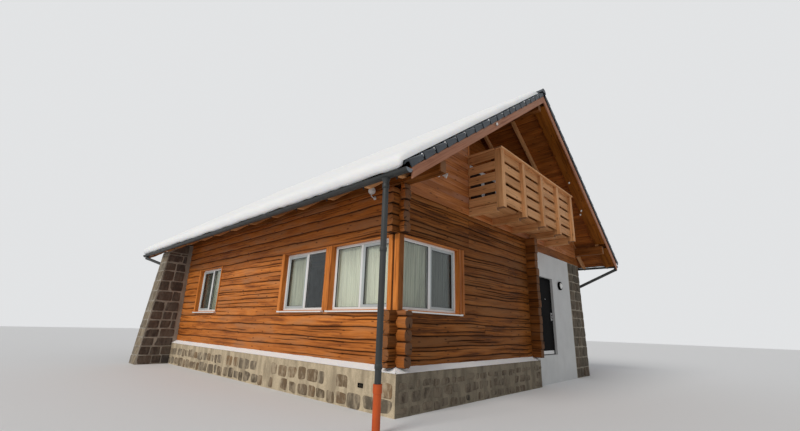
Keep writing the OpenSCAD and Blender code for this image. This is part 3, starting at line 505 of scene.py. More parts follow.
def materials():
    wood("log_orange", ORANGE, worn=0.38)
    wood("log_brown", BROWN, (0.185, 0.105, 0.052), 0.32, sheen=0.10)
    end_grain("log_end_grain", (0.30, 0.125, 0.045), (0.14, 0.056, 0.022), (0.170, 0.095, 0.060))
    end_grain("cross_end_grain", (0.50, 0.180, 0.045), (0.26, 0.085, 0.022), (0.30, 0.130, 0.055))
    end_grain("sawn_board_end", (0.36, 0.170, 0.075), (0.20, 0.085, 0.034), (0.24, 0.130, 0.075))
    wood("casing_orange", ORANGE, worn=0.05, gloss=0.38, knots=False)
    wood("trim_tan", TAN, worn=0.15, gloss=0.42)
    wood("board_brown", BROWN, worn=0.10, gloss=0.42)
    wood("board_weathered", WEATHERED, (0.42, 0.22, 0.15), 0.55, sheen=0.3)
    wood("soffit_brown", SOFFIT, worn=0.05, gloss=0.5)
    wood("barge_pinkish", PINKISH, knots=False)
    # Boards under the verges: honey wood with painted shade
    wood("verge_honey_shaded", HONEY_SHADED, worn=0.05, gloss=0.5, sheen=0.06)
    wood("timber_along_x", BROWN, axis=(0, 0, 0))
    wood("timber_along_y", BROWN, axis=(0, 0, math.radians(90)))
    stone("rubble_stone", [(0.115, 0.072, 0.040), (0.18, 0.130, 0.078), (0.10, 0.080, 0.055),
                           (0.24, 0.155, 0.085), (0.15, 0.125, 0.092)],
          (0.075, 0.058, 0.042), (0.46, 0.38, 0.27), 0.62)
    stone("rubble_stone_smeared", [(0.155, 0.112, 0.068), (0.29, 0.185, 0.095), (0.19, 0.155, 0.110)],
          (0.11, 0.085, 0.06), (0.55, 0.46, 0.33), 0.62)
    stone("rubble_stone_shaded", [(0.100, 0.070, 0.048), (0.15, 0.115, 0.082), (0.105, 0.088, 0.068)],
          (0.06, 0.050, 0.040), (0.22, 0.185, 0.14), 0.5)
    # Small stones of the front plinth: darker stones, and painted shade of the gable side
    stone("rubble_stone_small_shaded", [(0.085, 0.062, 0.045), (0.15, 0.115, 0.080), (0.07, 0.058, 0.045),
                                 (0.115, 0.085, 0.060)],
          (0.05, 0.042, 0.034), (0.24, 0.20, 0.148), 0.70, 0.40)
    stone("block_stone", [(0.065, 0.046, 0.036), (0.10, 0.072, 0.054), (0.15, 0.110, 0.080),
                          (0.075, 0.066, 0.060), (0.12, 0.080, 0.058)],
          (0.045, 0.038, 0.035), (0.24, 0.20, 0.155), 0.35)
    stone("block_stone_lit", [(0.15, 0.115, 0.080), (0.23, 0.180, 0.125), (0.29, 0.230, 0.160),
                              (0.18, 0.155, 0.125)],
          (0.10, 0.085, 0.065), (0.42, 0.36, 0.27), 0.5)
    mortar("mortar_beige", (0.60, 0.50, 0.350), (0.36, 0.295, 0.205), (0.22, 0.178, 0.118))
    mortar("mortar_grey", (0.40, 0.36, 0.30), (0.26, 0.23, 0.19), (0.19, 0.165, 0.14))
    mortar("mortar_shaded", (0.28, 0.238, 0.175), (0.155, 0.130, 0.095), (0.09, 0.078, 0.060))
    mortar("mortar_pale", (0.38, 0.335, 0.265), (0.26, 0.225, 0.175), (0.19, 0.165, 0.130))
    plain("render_white", (0.66, 0.67, 0.67), 0.88, 0.03, (0.57, 0.57, 0.56), 5.0, 0.25, **DULL)
    plain("tile_slate_grey", (0.050, 0.062, 0.075), 0.55, 0.18, (0.10, 0.11, 0.12), 9.0, 0.2)
    snow_material()
    plain("gutter_grey", (0.041, 0.044, 0.044), 0.45, 0.12, (0.075, 0.073, 0.068), 6.0, 0.03,
          Specular_IOR_Level=0.3)
    plain("gutter_cap_grey", (0.20, 0.235, 0.27), 0.45, 0.08, None, 6.0, 0.03)
    plain("drain_orange", (0.56, 0.092, 0.018), 0.5, 0.10, (0.36, 0.09, 0.035), 12.0,
          Specular_IOR_Level=0.25)
    plain("pvc_white", (0.82, 0.83, 0.83), 0.30, 0.02, None, 3.0, 0.01)
    # Opening sashes are white PVC painted grey as the shade in the frame's recess
    plain("sash_grey", (0.47, 0.52, 0.53), 0.35, 0.03, None, 3.0, 0.01)
    plain("gasket_black", (0.02, 0.022, 0.024), 0.6)
    glass_material()
    # Opaque dark sheet for the balcony door's panes: painted shade of the unlit room behind
    plain("pane_before_dark_room", (0.020, 0.022, 0.022), 0.06, 0.05, None, 3.0, 0.0)
    plain("door_anthracite", (0.0045, 0.0042, 0.0044), 0.66, 0.2, None, 20.0, Specular_IOR_Level=0.04)
    plain("steel_brushed", (0.55, 0.55, 0.55), 0.3, 0.05, None, 30.0, 0.02, Metallic=1.0)
    plain("lamp_opal", (0.85, 0.85, 0.83), 0.35, 0.02)
    plain("fitting_white", (0.74, 0.74, 0.72), 0.4, 0.04, (0.45, 0.43, 0.40), 20.0)
    # One net in three brightnesses: painted light, plain, and painted shade for the daylight at each window
    curtain_material(NET_LIT, (0.93, 0.92, 0.78), 0.32)
    curtain_material(NET, (0.62, 0.62, 0.50), 0.55)
    curtain_material(NET_SHADED, (0.145, 0.155, 0.135), 0.50)
    curtain_material("curtain_drape", (0.50, 0.46, 0.35), 0.40)


def finish_nodes(material, nodes):
    """Gives CAD nodes that stay in view their material."""
    for node in nodes.split():
        data = NODES[node].data
        data.materials.clear()
        data.materials.append(M[material])
        data.polygons.foreach_set("material_index", [0] * len(data.polygons))


# Camera and light

CAMERA_AT = Vector((-4.704, -4.391, 0.607))
LENS = 17.265
SENSOR = 36
VIEW_HEADING = math.radians(-46.961)
VIEW_RISE = math.radians(16.201)
VIEW_ROLL = math.radians(1.701)
SKY_LIGHT = 0.47
FLOOR_REACH = 60.0


def camera():
    data = bpy.data.cameras.new("camera")
    data.lens = LENS
    data.sensor_width = SENSOR
    data.clip_start = 0.05
    eye = placed("camera", data)
    turn = Matrix.Rotation(VIEW_HEADING, 4, "Z") @ Matrix.Rotation(math.pi / 2 + VIEW_RISE, 4, "X")
    eye.matrix_world = Matrix.Translation(ORIGIN + CAMERA_AT) @ turn @ Matrix.Rotation(VIEW_ROLL, 4, "Z")
    bpy.context.scene.camera = eye


def seen_white(tree, plain_light):
    """Strength that is 1 for what the camera, a mirror or a pane sees, and plain_light otherwise."""
    rays = tree.nodes.new("ShaderNodeLightPath")
    seen = rays.outputs["Is Camera Ray"]
    for kind in ("Is Transmission Ray", "Is Glossy Ray"):
        either = tree.nodes.new("ShaderNodeMath")
        either.operation = "MAXIMUM"
        tree.links.new(seen, either.inputs[0])
        tree.links.new(rays.outputs[kind], either.inputs[1])
        seen = either.outputs[0]
    spread = tree.nodes.new("ShaderNodeMapRange")
    tree.links.new(seen, spread.inputs["Value"])
    spread.inputs["To Min"].default_value = plain_light
    spread.inputs["To Max"].default_value = 1.0
    return spread.outputs[0]


def sun(name, heading, rise, power, softness, colour):
    """Soft light that falls from a compass heading (0 is in front of the gable, 90 on the left)."""
    data = bpy.data.lights.new(name, "SUN")
    data.energy = power
    data.angle = math.radians(softness)
    data.color = colour
    around, up = math.radians(heading), math.radians(rise)
    source = Vector((-math.sin(around) * math.cos(up), -math.cos(around) * math.cos(up), math.sin(up)))
    placed(name, data).rotation_euler = source.to_track_quat("Z", "Y").to_euler()


def stage_and_light():
    world = bpy.data.worlds.new("sky")
    bpy.context.scene.world = world
    world.use_nodes = True
    back = world.node_tree.nodes["Background"]
    back.inputs[0].default_value = (0.76, 0.77, 0.78, 1.0)
    world.node_tree.links.new(seen_white(world.node_tree, SKY_LIGHT), back.inputs[1])
    sun("key", 88, 34, 1.65, 22, (1.0, 0.96, 0.90))
    sun("fill", 10, 20, 0.12, 60, (0.95, 0.98, 1.0))
    mesh = bpy.data.meshes.new("floor")
    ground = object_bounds()[0][2]
    corners = [(x * FLOOR_REACH, y * FLOOR_REACH, ground) for x, y in ((-1, -1), (1, -1), (1, 1), (-1, 1))]
    mesh.from_pydata(corners, [], [(0, 1, 2, 3)])
    Shader("floor_pale").surface(Base_Color=(0.80, 0.81, 0.83), Roughness=0.95)
    mesh.materials.append(M["floor_pale"])
    floor = placed("floor", mesh)
    bpy.context.scene.view_settings.view_transform = "Standard"


# Logs

# Height up the log as a share of it, depth in metres, and darkness: painted shade in the seam, with some dirt
SEAM_ROWS = [(0.0, 0.030, 1.0), (0.035, 0.013, 0.75), (0.09, 0.005, 0.22), (0.17, 0.0015, 0.03)]
CRACK_BANDS = [(0.22, 0.40), (0.43, 0.60), (0.63, 0.80)]
CRACK_WIDTHS = [0.0, 0.010, 0.014, 0.019, 0.023]
LOG_STEP = 0.09
END_STEPS = 5
END_ROUND = 3.5
# How much darker the sawn ends of the logs below the window heads are painted all over
END_DARKENING = 0.28
BUTT_GAP = 0.003
# Size of each ring of points on a sawn end, and how far it stands out
END_RINGS = ((0.86, 0.006), (0.5, 0.010), (0.12, 0.008))
# By height, the share of their light tone that the logs of the long wall keep: less near the ground, where they
# are weathered, and less under the eave, where it is painted shade
SIDE_WEATHERING_AND_SHADE = ((0.0, 0.50), (0.5, 0.70), (0.9, 1.0), (1.9, 1.0), (2.25, 0.45), (2.6, 0.05), (3.2, 0.0))


class Log:
    """One hewn log: its drying checks, tone and uneven face, all from its own seed."""

    def __init__(self, seed, length, sheltered):
        draw = random.Random(seed)
        self.seed = draw.uniform(0, 500)
        self.tone = draw.uniform(0.15, 0.95)
        self.cracks = []
        for low, high in CRACK_BANDS:
            start = draw.uniform(-0.15, 0.75) * length
            reach = draw.uniform(0.9, 3.6)
            width = draw.choice(CRACK_WIDTHS) * (0.35 if sheltered else 1.0)
            self.cracks.append((low, high, start, start + reach, width, draw.uniform(0, 9)))

    def seam(self, s, key, tight):
        narrow = 0.85 + 0.7 * ripple(s * 2.2, key, self.seed)
        return [(v * narrow, depth * tight, shade) for v, depth, shade in SEAM_ROWS]

    def face(self, s, z0, height, tight):
        """Rows of (height, depth behind the face, shade) up the log's face at a place s along it.

        tight is how deep its two seams are, as a share of the usual depth."""
        rows = self.seam(s, 5.5, tight)
        for low, high, start, end, width, phase in self.cracks:
            t = (s - start) / (end - start)
            open_share = math.sin(math.pi * t) ** 0.6 if 0 < t < 1 else 0.0
            stray = math.sin(1.9 * s + phase) + 0.6 * ripple(s * 2.1, phase, self.seed)
            half = max(0.0002, width * open_share / 2) / height
            centre = lerp(low, high, 0.5) + stray * 0.022
            shade = open_share if width else 0.0
            # The crack's bottom is painted dark as shade, its lips a little, as far as it is open
            rows += [(centre - half, 0.001 * shade, 0.30 * shade), (centre, width * open_share * 1.3, shade),
                     (centre + half, 0.001 * shade, 0.30 * shade), (high + 0.015, 0.0, 0.0)]
        rows.pop()
        rows += [(1 - v, depth, shade) for v, depth, shade in reversed(self.seam(s, 9.5, tight))]
        face = []
        for v, depth, shade in rows:
            z = z0 + v * height
            hewn = 0.0045 * ripple(s * 1.1, z * 9, self.seed)
            hewn += 0.0020 * ripple(s * 5.0, z * 22, self.seed + 7)
            face.append((z, depth + 0.004 + hewn, shade))
        return face


def log_run(mesh, place, log, s0, s1, z0, z1, clip, rounded, bend, darkened, tone_weight):
    """Part of a log between two places along a wall, kept between the heights in clip.

    rounded is how far its edges draw in, for a log end, and soiled how much darker it is painted all over. bend
    gives how far the seams at z0 and z1 wander from their level at a place s. aged is the share
    of the log's light tone that is left, lower where the wall is weathered and where it is painted shade."""
    steps = END_STEPS if rounded else max(1, round((s1 - s0) / LOG_STEP))
    columns, shade = [], []
    for i in range(steps + 1):
        s = lerp(s0, s1, i / steps)
        shift_low, shift_high = bend(s)
        bottom, top = z0 + shift_low, z1 + shift_high
        low = bottom if abs(clip[0] - z0) < 0.0001 else max(clip[0], bottom)
        high = top if abs(clip[1] - z1) < 0.0001 else min(clip[1], top)
        front = log.face(s, bottom, top - bottom, 0.35 if rounded else 1.0)
        drawn = rounded * (1.9 if i == 0 else 0.9)
        middle = (low + high) / 2
        squash = 1 - (0.0016 + drawn * 0.4) / (high - low) if rounded > 0.007 else 1.0
        loop = []
        for behind, rows in ((False, front), (True, reversed(front if rounded else front[::3]))):
            for z, d, dark in rows:
                z = min(max(z, low), high)
                d = min(d + drawn * abs(2 * (z - low) / (high - low) - 1) ** END_ROUND, LOG_T / 2)
                loop.append((s, LOG_T - d if behind else d, middle + (z - middle) * squash))
                shade.append(max(dark, darkened))
        columns.append(loop)
    count = len(columns[0])
    verts = [place(*p) for loop in columns for p in loop]
    across = [0.0]
    for before, after in zip(columns[0], columns[0][1:]):
        across.append(across[-1] + math.hypot(after[1] - before[1], after[2] - before[2]))
    grain = [(p[0], across[j]) for loop in columns for j, p in enumerate(loop)]
    faces = rings(steps + 1, count)
    slots = [0] * len(faces)
    near_cap = 0
    if rounded:
        # The sawn end: rings of points drawn in to the heart, with one radial check painted dark as shade
        heart = Vector((0, LOG_T / 2, (clip[0] + clip[1]) / 2))
        split = int(log.seed) % count
        for share, out in END_RINGS:
            start = len(verts)
            for j, (s, d, z) in enumerate(columns[0]):
                point = heart.lerp(Vector((0, d, z)), share)
                check = 0.016 if j == split else 0.0
                dent = 0.002 * ripple(point.y * 30, point.z * 30, log.seed)
                verts.append(place(s - out + check + dent, point.y, point.z))
                grain.append((point.y - heart.y, point.z - heart.z))
                shade.append(1.0 if j == split else darkened)
            for j in range(count):
                k = (j + 1) % count
                faces.append((near_cap + j, near_cap + k, start + k, start + j))
                slots.append(1)
            near_cap = start
    faces += [tuple(near_cap + j for j in range(count)), tuple(steps * count + j for j in range(count))]
    mesh.add(verts, faces, grain, log.tone * tone_weight, shade, slots + [1, 1])


def courses(z0, z1, half_first):
    """Heights of the seams between two levels."""
    levels = [z0]
    if half_first:
        levels.append(z0 + COURSE / 2)
    while levels[-1] < z1 - COURSE / 2 - 0.01:
        levels.append(min(z1, levels[-1] + COURSE))
    if levels[-1] < z1 - 0.001:
        levels.append(z1)
    return list(zip(levels, levels[1:]))


def seam_wander(seed, level, s, fixed):
    """How far a seam strays from its level: nothing at the top, the bottom and the fixed places."""
    if s < fixed[0]:
        return 0.0
    free = min([1.0] + [smooth((abs(s - place) - 0.01) / 0.35) for place in fixed])
    slow = ripple(s * 0.7, level * 3.7, seed)
    quick = ripple(s * 2.5, level * 9.1, seed + 50)
    return free * (0.030 * slow + 0.010 * quick)


def between(z, steps):
    """Value at a height, from rising pairs of (height, value)."""
    for (z0, a), (z1, b) in zip(steps, steps[1:]):
        if z <= z1:
            return lerp(a, b, min(1.0, max(0.0, (z - z0) / (z1 - z0))))
    return steps[-1][1]


def log_wall(mesh, place, seed, span, levels, crossings, gaps, joints=(), upper_start=None,
             soft=(0.012, 0.024), weathering_and_shade=((0.0, 1.0), (9.0, 1.0))):
    """Stack of logs along a wall.

    crossings are (start, end) where another wall's logs are notched in, gaps are (start, end)
    of window openings, joints are (course, place) where two logs butt, upper_start is where the
    logs above the windows begin and soft how far the edges of the log ends draw in. ageing
    gives, by height, what share of a log's light tone is left, lower for weathering and for painted shade."""
    fixed = [0.0] + [s for crossing in crossings for s in crossing if s > 0] + [span[1]]
    for course, (z0, z1) in enumerate(levels):
        if upper_start is not None and z1 >= HEAD_Z + 0.03:
            span = (upper_start, span[1])

        def bend(s):
            return (seam_wander(seed, z0, s, fixed) if course else 0.0,
                    seam_wander(seed, z1, s, fixed) if course < len(levels) - 1 else 0.0)

        holed = z0 < HEAD_Z - 0.001 and z1 > SILL_Z + 0.001
        butts = [s for row, s in joints if row == course]
        cuts = {*span, *butts, *(s for pair in crossings for s in pair)}
        if holed:
            cuts.update(s for pair in gaps for s in pair)
        stops = sorted(c for c in cuts if span[0] <= c <= span[1])
        sheltered = upper_start is not None and z0 > HEAD_Z + COURSE
        first_seed, length = seed * 1000 + course * 7, span[1] - span[0]
        logs = [Log(first_seed + i, length, sheltered) for i in range(len(butts) + 1)]
        for a, b in zip(stops, stops[1:]):
            middle = (a + b) / 2
            log = logs[sum(1 for s in butts if s < middle)]
            start = a + (BUTT_GAP if a in butts else 0.0)
            end = b - (BUTT_GAP if b in butts else 0.0)
            clips = [(z0, z1)]
            if holed and any(p < middle < q for p, q in gaps):
                clips = [(z0, SILL_Z)] * (z0 < SILL_Z - 0.001) + [(HEAD_Z, z1)] * (z1 > HEAD_Z + 0.021)
            if any(p < middle < q for p, q in crossings):
                clips = [(max(low, z0 + COURSE / 4), min(high, z1 - COURSE / 4)) for low, high in clips]
            for low, high in clips:
                if high - low <= 0.012:
                    continue
                softened = darkened = 0.0
                if b <= 0.001:
                    draw = random.Random(seed * 77 + course)
                    start = a + draw.uniform(0.0, 0.028)
                    softened = draw.uniform(*soft)
                    # Ends below the window heads are painted darker all over
                    darkened = END_DARKENING if z1 < HEAD_Z else 0.0
                log_run(mesh, place, log, start, end, z0, z1, (low, high), softened, bend, darkened,
                        between((z0 + z1) / 2, weathering_and_shade))


def along_y(x, inward=1):
    """Place function of a wall that runs back from the gable with its face at x."""
    return lambda s, d, z: (x + inward * d, s, z)


def along_x(y):
    """Place function of a wall that runs along the gable with its face at y."""
    return lambda s, d, z: (s, y + d, z)


def on_rear(s, d, z):
    return (HOUSE_W - s, HOUSE_D - d, z)


on_left = along_y(0.0)
on_front = along_x(0.0)
on_right = along_y(HOUSE_W, -1)
in_recess = along_x(RECESS_D)
on_plinth_left = along_y(-PLINTH_OUT)
on_plinth_front = along_x(-PLINTH_OUT)
on_plinth_right = along_y(HOUSE_W + PLINTH_OUT, -1)


def logs():
    side_levels = courses(WALL_Z0, SIDE_Z1, False)
    corner = (0.0, LOG_T)
    pair_end = SPANS["left_2"][1]
    mesh = Mesh()
    log_wall(mesh, on_left, 3, (-LOG_END, LOG_D), side_levels, [corner],
             [(-LOG_END, pair_end), SPANS["left_3"]], (), -UPPER_END, weathering_and_shade=SIDE_WEATHERING_AND_SHADE)
    # A board in the head of each opening, darkened as painted shade under the logs above
    for start, end in ((LOG_T, pair_end), SPANS["left_3"]):
        beam(mesh, (0.012, start, HEAD_Z), (LOG_T - 0.012, end, HEAD_Z + 0.03), 1, 0.003, 0.3, shade=0.6)
    mesh.build("left_wall_logs", "log_orange log_end_grain", "log_wood", "log_wall_left")
    mesh = Mesh()
    log_wall(mesh, on_front, 11, (-LOG_END, CROSS_X + LOG_T), courses(WALL_Z0, FRONT_Z1, True),
             [corner, (CROSS_X, CROSS_X + LOG_T)], [(-LOG_END, SPANS["gable"][1])],
             [(12, 2.19), (13, 2.19), (14, 2.19), (3, 2.75)])
    mesh.build("gable_wall_logs", "log_brown cross_end_grain", "log_wood", "log_wall_front")
    mesh = Mesh()
    log_wall(mesh, on_right, 23, (PIER_D, LOG_D), side_levels, [], [SPANS["right_1"], SPANS["right_2"]])
    mesh.build("right_wall_logs", "log_orange log_end_grain", "log_wood", "log_wall_right")
    mesh = Mesh()
    log_wall(mesh, along_y(CROSS_X), 31, (-CROSS_END, LOG_T + CROSS_END), courses(WALL_Z0, FRONT_Z1, False),
             [corner], [], soft=(0.003, 0.006))
    mesh.build("entrance_log_stack", "log_brown log_end_grain", "log_wood", "entrance_log_ends")


# Boards and timbers


def mitres(outline, inward):
    """For each corner of a flat outline, the step that draws it in by one unit of distance."""
    count = len(outline)
    area = Vector()
    for i in range(count):
        area += (outline[i] - outline[0]).cross(outline[(i + 1) % count] - outline[0])
    sign = 1.0 if area.dot(inward) > 0 else -1.0
    steps = []
    for i in range(count):
        before = (outline[i] - outline[i - 1]).normalized()
        after = (outline[(i + 1) % count] - outline[i]).normalized()
        n1, n2 = sign * inward.cross(before), sign * inward.cross(after)
        steps.append((n1 + n2) / max(0.3, 1 + n1.dot(n2)))
    return steps


def prism(mesh, outline, back, fibre, bevel=0.004, tone=None, slot=0, caps=None, shade=0.0):
    """Slab with softened edges: a flat outline carried back, with its grain along fibre.

    caps is the material slot of the two outline faces, where they are sawn ends."""
    outline = [Vector(p) for p in outline]
    back, fibre = Vector(back), Vector(fibre).normalized()
    depth = back.length
    inward = back / depth
    steps = mitres(outline, inward)
    side = inward if abs(fibre.dot(inward)) < 0.9 else (outline[1] - outline[0]).normalized()
    second = fibre.cross(side)
    across = second + side * 0.9
    if tone is None:
        tone = CHANCE.uniform(0.1, 0.95)
    verts = []
    for inset, d in ((bevel, 0.0), (0.0, bevel), (0.0, depth - bevel), (bevel, depth)):
        verts += [p + step * inset + inward * d for p, step in zip(outline, steps)]
    grain = [(q.dot(fibre), q.dot(across)) for q in verts]
    n = len(outline)
    ends = [tuple(range(n)), tuple(3 * n + i for i in range(n))]
    mesh.add(verts, rings(4, n) + (ends if caps is None else []), grain, tone, [shade] * len(verts), slot)
    if caps is None:
        return
    middle = sum(outline, Vector()) / n
    for ring in (verts[:n], verts[3 * n:]):
        flat = [((q - middle).dot(side), (q - middle).dot(second) + 0.03) for q in ring]
        mesh.add(ring, [tuple(range(n))], flat, tone, [shade] * n, caps)


def beam(mesh, low, high, axis, bevel=0.006, tone=None, slot=0, caps=None, place=None, shade=0.0):
    """Squared timber or board between two corners, its fibre along axis (0, 1 or 2)."""
    a, b = [i for i in (0, 1, 2) if i != axis]
    c = min(bevel, (high[a] - low[a]) * 0.45, (high[b] - low[b]) * 0.45)
    corners = [(low[a] + c, low[b]), (high[a] - c, low[b]), (high[a], low[b] + c), (high[a], high[b] - c),
               (high[a] - c, high[b]), (low[a] + c, high[b]), (low[a], high[b] - c), (low[a], low[b] + c)]
    outline = []
    for p, q in corners:
        point = [0.0, 0.0, 0.0]
        point[a], point[b], point[axis] = p, q, low[axis]
        outline.append(point)
    back = [0.0, 0.0, 0.0]
    back[axis] = high[axis] - low[axis]
    if place:
        far = Vector(place(*[p + q for p, q in zip(outline[0], back)]))
        outline = [place(*p) for p in outline]
        back = far - Vector(outline[0])
    prism(mesh, outline, back, back, c * 0.6, tone, slot, caps, shade)


def wall_boards(mesh, place, span, z0, z1, pitch, hole=None, thick=0.02, slot=0):
    """Horizontal boards on a wall between span(z)'s two ends, left out over the hole (s0, s1, z0, z1)."""
    rows = max(1, round((z1 - z0) / pitch))
    levels = {z0, z1} | {z for z in (hole or ())[2:] if z0 < z < z1}
    for i in range(1, rows):
        z = lerp(z0, z1, i / rows)
        if all(abs(z - level) > pitch * 0.3 for level in levels):
            levels.add(z)
    levels = sorted(levels)
    for low, high in zip(levels, levels[1:]):
        pieces = [(None, None)]
        if hole and hole[2] < (low + high) / 2 < hole[3]:
            pieces = [(None, hole[0]), (hole[1], None)]
        tone = CHANCE.uniform(0.1, 0.95)
        out = -thick - CHANCE.uniform(0.0, 0.0025)
        for start, end in pieces:
            zl, zh = low + 0.001, high - 0.001
            (a, b), (c, d) = [(left if start is None else start, right if end is None else end)
                              for left, right in (span(low), span(high))]
            if b - a < 0.03:
                continue
            if d - c < 0.005:
                c = (c + d) / 2
                d = c + 0.005
            front = [Vector(place(s, out, z)) for s, z in ((a, zl), (b, zl), (d, zh), (c, zh))]
            back = Vector(place(a, 0.001, zl)) - front[0]
            prism(mesh, front, back, front[1] - front[0], 0.005, tone, slot)


def mitred(mesh, place, rect, profile, slot=0):
    """Mitred frame round a rectangle (s0, z0, s1, z1), from a closed profile of (inset, depth)."""
    s0, z0, s1, z1 = rect
    verts, grain = [], []
    run = 0.0
    for i, (t, d) in enumerate(profile):
        if i:
            run += math.hypot(t - profile[i - 1][0], d - profile[i - 1][1])
        for s, z in ((s0 + t, z0 + t), (s1 - t, z0 + t), (s1 - t, z1 - t), (s0 + t, z1 - t)):
            verts.append(place(s, d, z))
            grain.append((s + z, run))
    last = 4 * len(profile) - 4
    closing = [(last + j, last + (j + 1) % 4, (j + 1) % 4, j) for j in range(4)]
    mesh.add(verts, rings(len(profile), 4) + closing, grain, slot=slot)


def circle(centre, u, w, radius, sides):
    """Points round a centre, each with its angle."""
    angles = [2 * math.pi * j / sides for j in range(sides)]
    return [(centre + (u * math.cos(angle) + w * math.sin(angle)) * radius, angle) for angle in angles]


def turned(mesh, centre, axis, profile, sides=24, slot=0):
    """Round piece: a profile of (radius, height along the axis) turned about the axis."""
    centre, axis = Vector(centre), Vector(axis).normalized()
    u = axis.orthogonal().normalized()
    verts, grain = [], []
    for r, h in profile:
        for point, angle in circle(centre + axis * h, u, axis.cross(u), r, sides):
            verts.append(point)
            grain.append((h + r, angle * r))
    faces = rings(len(profile), sides)
    for i in (0, len(profile) - 1):
        if profile[i][0] > 0.0005:
            faces.append(tuple(i * sides + j for j in range(sides)))
    mesh.add(verts, faces, grain, slot=slot)


def tube(mesh, points, radius, sides=12, slot=0):
    """Round bar along a line of points."""
    points = [Vector(p) for p in points]
    verts, grain = [], []
    for i, p in enumerate(points):
        ahead = (points[min(i + 1, len(points) - 1)] - points[max(i - 1, 0)]).normalized()
        u = ahead.orthogonal().normalized()
        if i:
            u = (previous - ahead * previous.dot(ahead)).normalized()
        previous = u
        for point, angle in circle(p, u, ahead.cross(u), radius, sides):
            verts.append(point)
            grain.append((i * 0.1, angle * radius))
    ends = [tuple(range(sides)), tuple((len(points) - 1) * sides + j for j in range(sides))]
    mesh.add(verts, rings(len(points), sides) + ends, grain, slot=slot)


# Roof timber


def roof_top(x):
    return RIDGE_Z - SLOPE * abs(MID_X - x)


def deck_under(x):
    return roof_top(x) - DECK_T / RUN


def rafter_under(x):
    return roof_top(x) - (RAFTER_D + DECK_T) / RUN


def on_slope(s, h, side, y=0.0):
    """Point s up a slope from the eave and h square above the deck, on the left (0) or the right (1)."""
    x = EAVE_X + s * RUN - h * RISE
    return sided(x, side), y, roof_top(EAVE_X) + s * RISE + h * RUN


def slope_span(z, left, right):
    """Ends of a gable wall at a height, where the rafters cut it off."""
    cut = z / SLOPE - rafter_under(0) / SLOPE
    return max(left, cut), min(right, HOUSE_W - cut)


def sloping(mesh, outline, side, y, thick, bevel, tone=None):
    """Slab with its grain up the slope, from the outline (x, z) that it has on the left."""
    points = [(sided(x, side), y, z) for x, z in outline]
    prism(mesh, points, (0, thick, 0), (-RUN if side else RUN, 0, RISE), bevel, tone)


def roof_timber():
    ridge_low, ridge_high = house_box("ridge_beam")
    plate_low, plate_high = house_box("wall_plates")
    ridge_x, tail, foot = MID_X - 0.08, EAVE_X + TAIL_RUN, deck_under(EAVE_X)
    rafter = [(EAVE_X, foot - TAIL_H), (tail, rafter_under(tail)), (0.0, rafter_under(0)),
              (0.0, plate_high.z), ((plate_high.z - rafter_under(0)) / SLOPE, plate_high.z),
              (ridge_x, rafter_under(ridge_x)), (ridge_x, ridge_high.z), (MID_X, ridge_high.z),
              (MID_X, deck_under(MID_X)), (EAVE_X, foot)]
    board_rows = 46
    groove = 0.007
    end_gap = BARGE_T
    for side, label in enumerate(SIDES):
        mesh = Mesh()
        for y in RAFTER_YS:
            sloping(mesh, rafter, side, y - RAFTER_B / 2, RAFTER_B, 0.005)
        mesh.build("rafter_row_" + label, "trim_tan", "trim_wood", "rafters_" + label)
        mesh = Mesh()
        for i in range(board_rows):
            s0, s1 = SLOPE_LENGTH * i / board_rows, SLOPE_LENGTH * (i + 1) / board_rows
            section = [(s0, -0.0005), (s1, -0.0005), (s1, groove - DECK_T), (s1 - groove, -DECK_T),
                       (s0 + groove, -DECK_T), (s0, groove - DECK_T)]
            y = ROOF_Y0 + end_gap
            while y < ROOF_Y1 - end_gap - 0.001:
                end = y + CHANCE.choice([1.94, 2.91, 3.88])
                if end > ROOF_Y1 - 0.9:
                    end = ROOF_Y1 - end_gap
                outline = [on_slope(s, h, side, y) for s, h in section]
                prism(mesh, outline, (0, end - y - 0.001, 0), (0, 1, 0), 0.001)
                y = end
        mesh.build("soffit_boards_" + label, "soffit_brown", "board_wood", "roof_deck_" + label)
    mesh = Mesh()
    beam(mesh, ridge_low, ridge_high, 1, 0.012, caps=1)
    mesh.build("ridge_beam_hewn", "board_brown sawn_board_end", "log_wood", "ridge_beam")
    mesh = Mesh()
    for x in (0.0, HOUSE_W - LOG_T):
        beam(mesh, (x, plate_low.y, plate_low.z), (x + LOG_T, plate_high.y, plate_high.z), 1, 0.022, caps=1)
    mesh.build("wall_plate_logs", "log_brown sawn_board_end", "log_wood", "wall_plates")
    x0 = EAVE_X + 0.01
    barge = [(x0, roof_top(x0) - BARGE_H), (x0, roof_top(x0)), (MID_X, roof_top(MID_X)),
             (MID_X, roof_top(MID_X) - BARGE_H)]
    mesh = Mesh()
    for y in (ROOF_Y0, ROOF_Y1 - BARGE_T):
        for side in (0, 1):
            sloping(mesh, barge, side, y, BARGE_T, 0.004, 0.6)
    mesh.build("barge_boards_planed", "barge_pinkish", "trim_wood", "bargeboards")
    # Boards under the verges, flush with the undersides of the rafters, from the barge to the fly rafter
    mesh = Mesh()
    drop = VERGE_BOARD_T / RUN
    inside = BARGE_T + 0.001
    for near, far in ((ROOF_Y0 + inside, RAFTER_YS[0] + 0.04), (RAFTER_YS[-1] - 0.04, ROOF_Y1 - inside)):
        for i in (0, 1):
            y0, y1 = lerp(near, far, i / 2), lerp(near, far, (i + 1) / 2) - 0.002
            for x0, x1 in ((EAVE_X + TAIL_RUN, -0.002), (LOG_T + 0.002, ridge_x - 0.002)):
                board = [(x0, rafter_under(x0)), (x1, rafter_under(x1)), (x1, rafter_under(x1) - drop),
                         (x0, rafter_under(x0) - drop)]
                for side in (0, 1):
                    sloping(mesh, board, side, y0, y1 - y0, 0.003)
    mesh.build("verge_soffit_boards", "verge_honey_shaded", "board_wood")


# Gables and recess


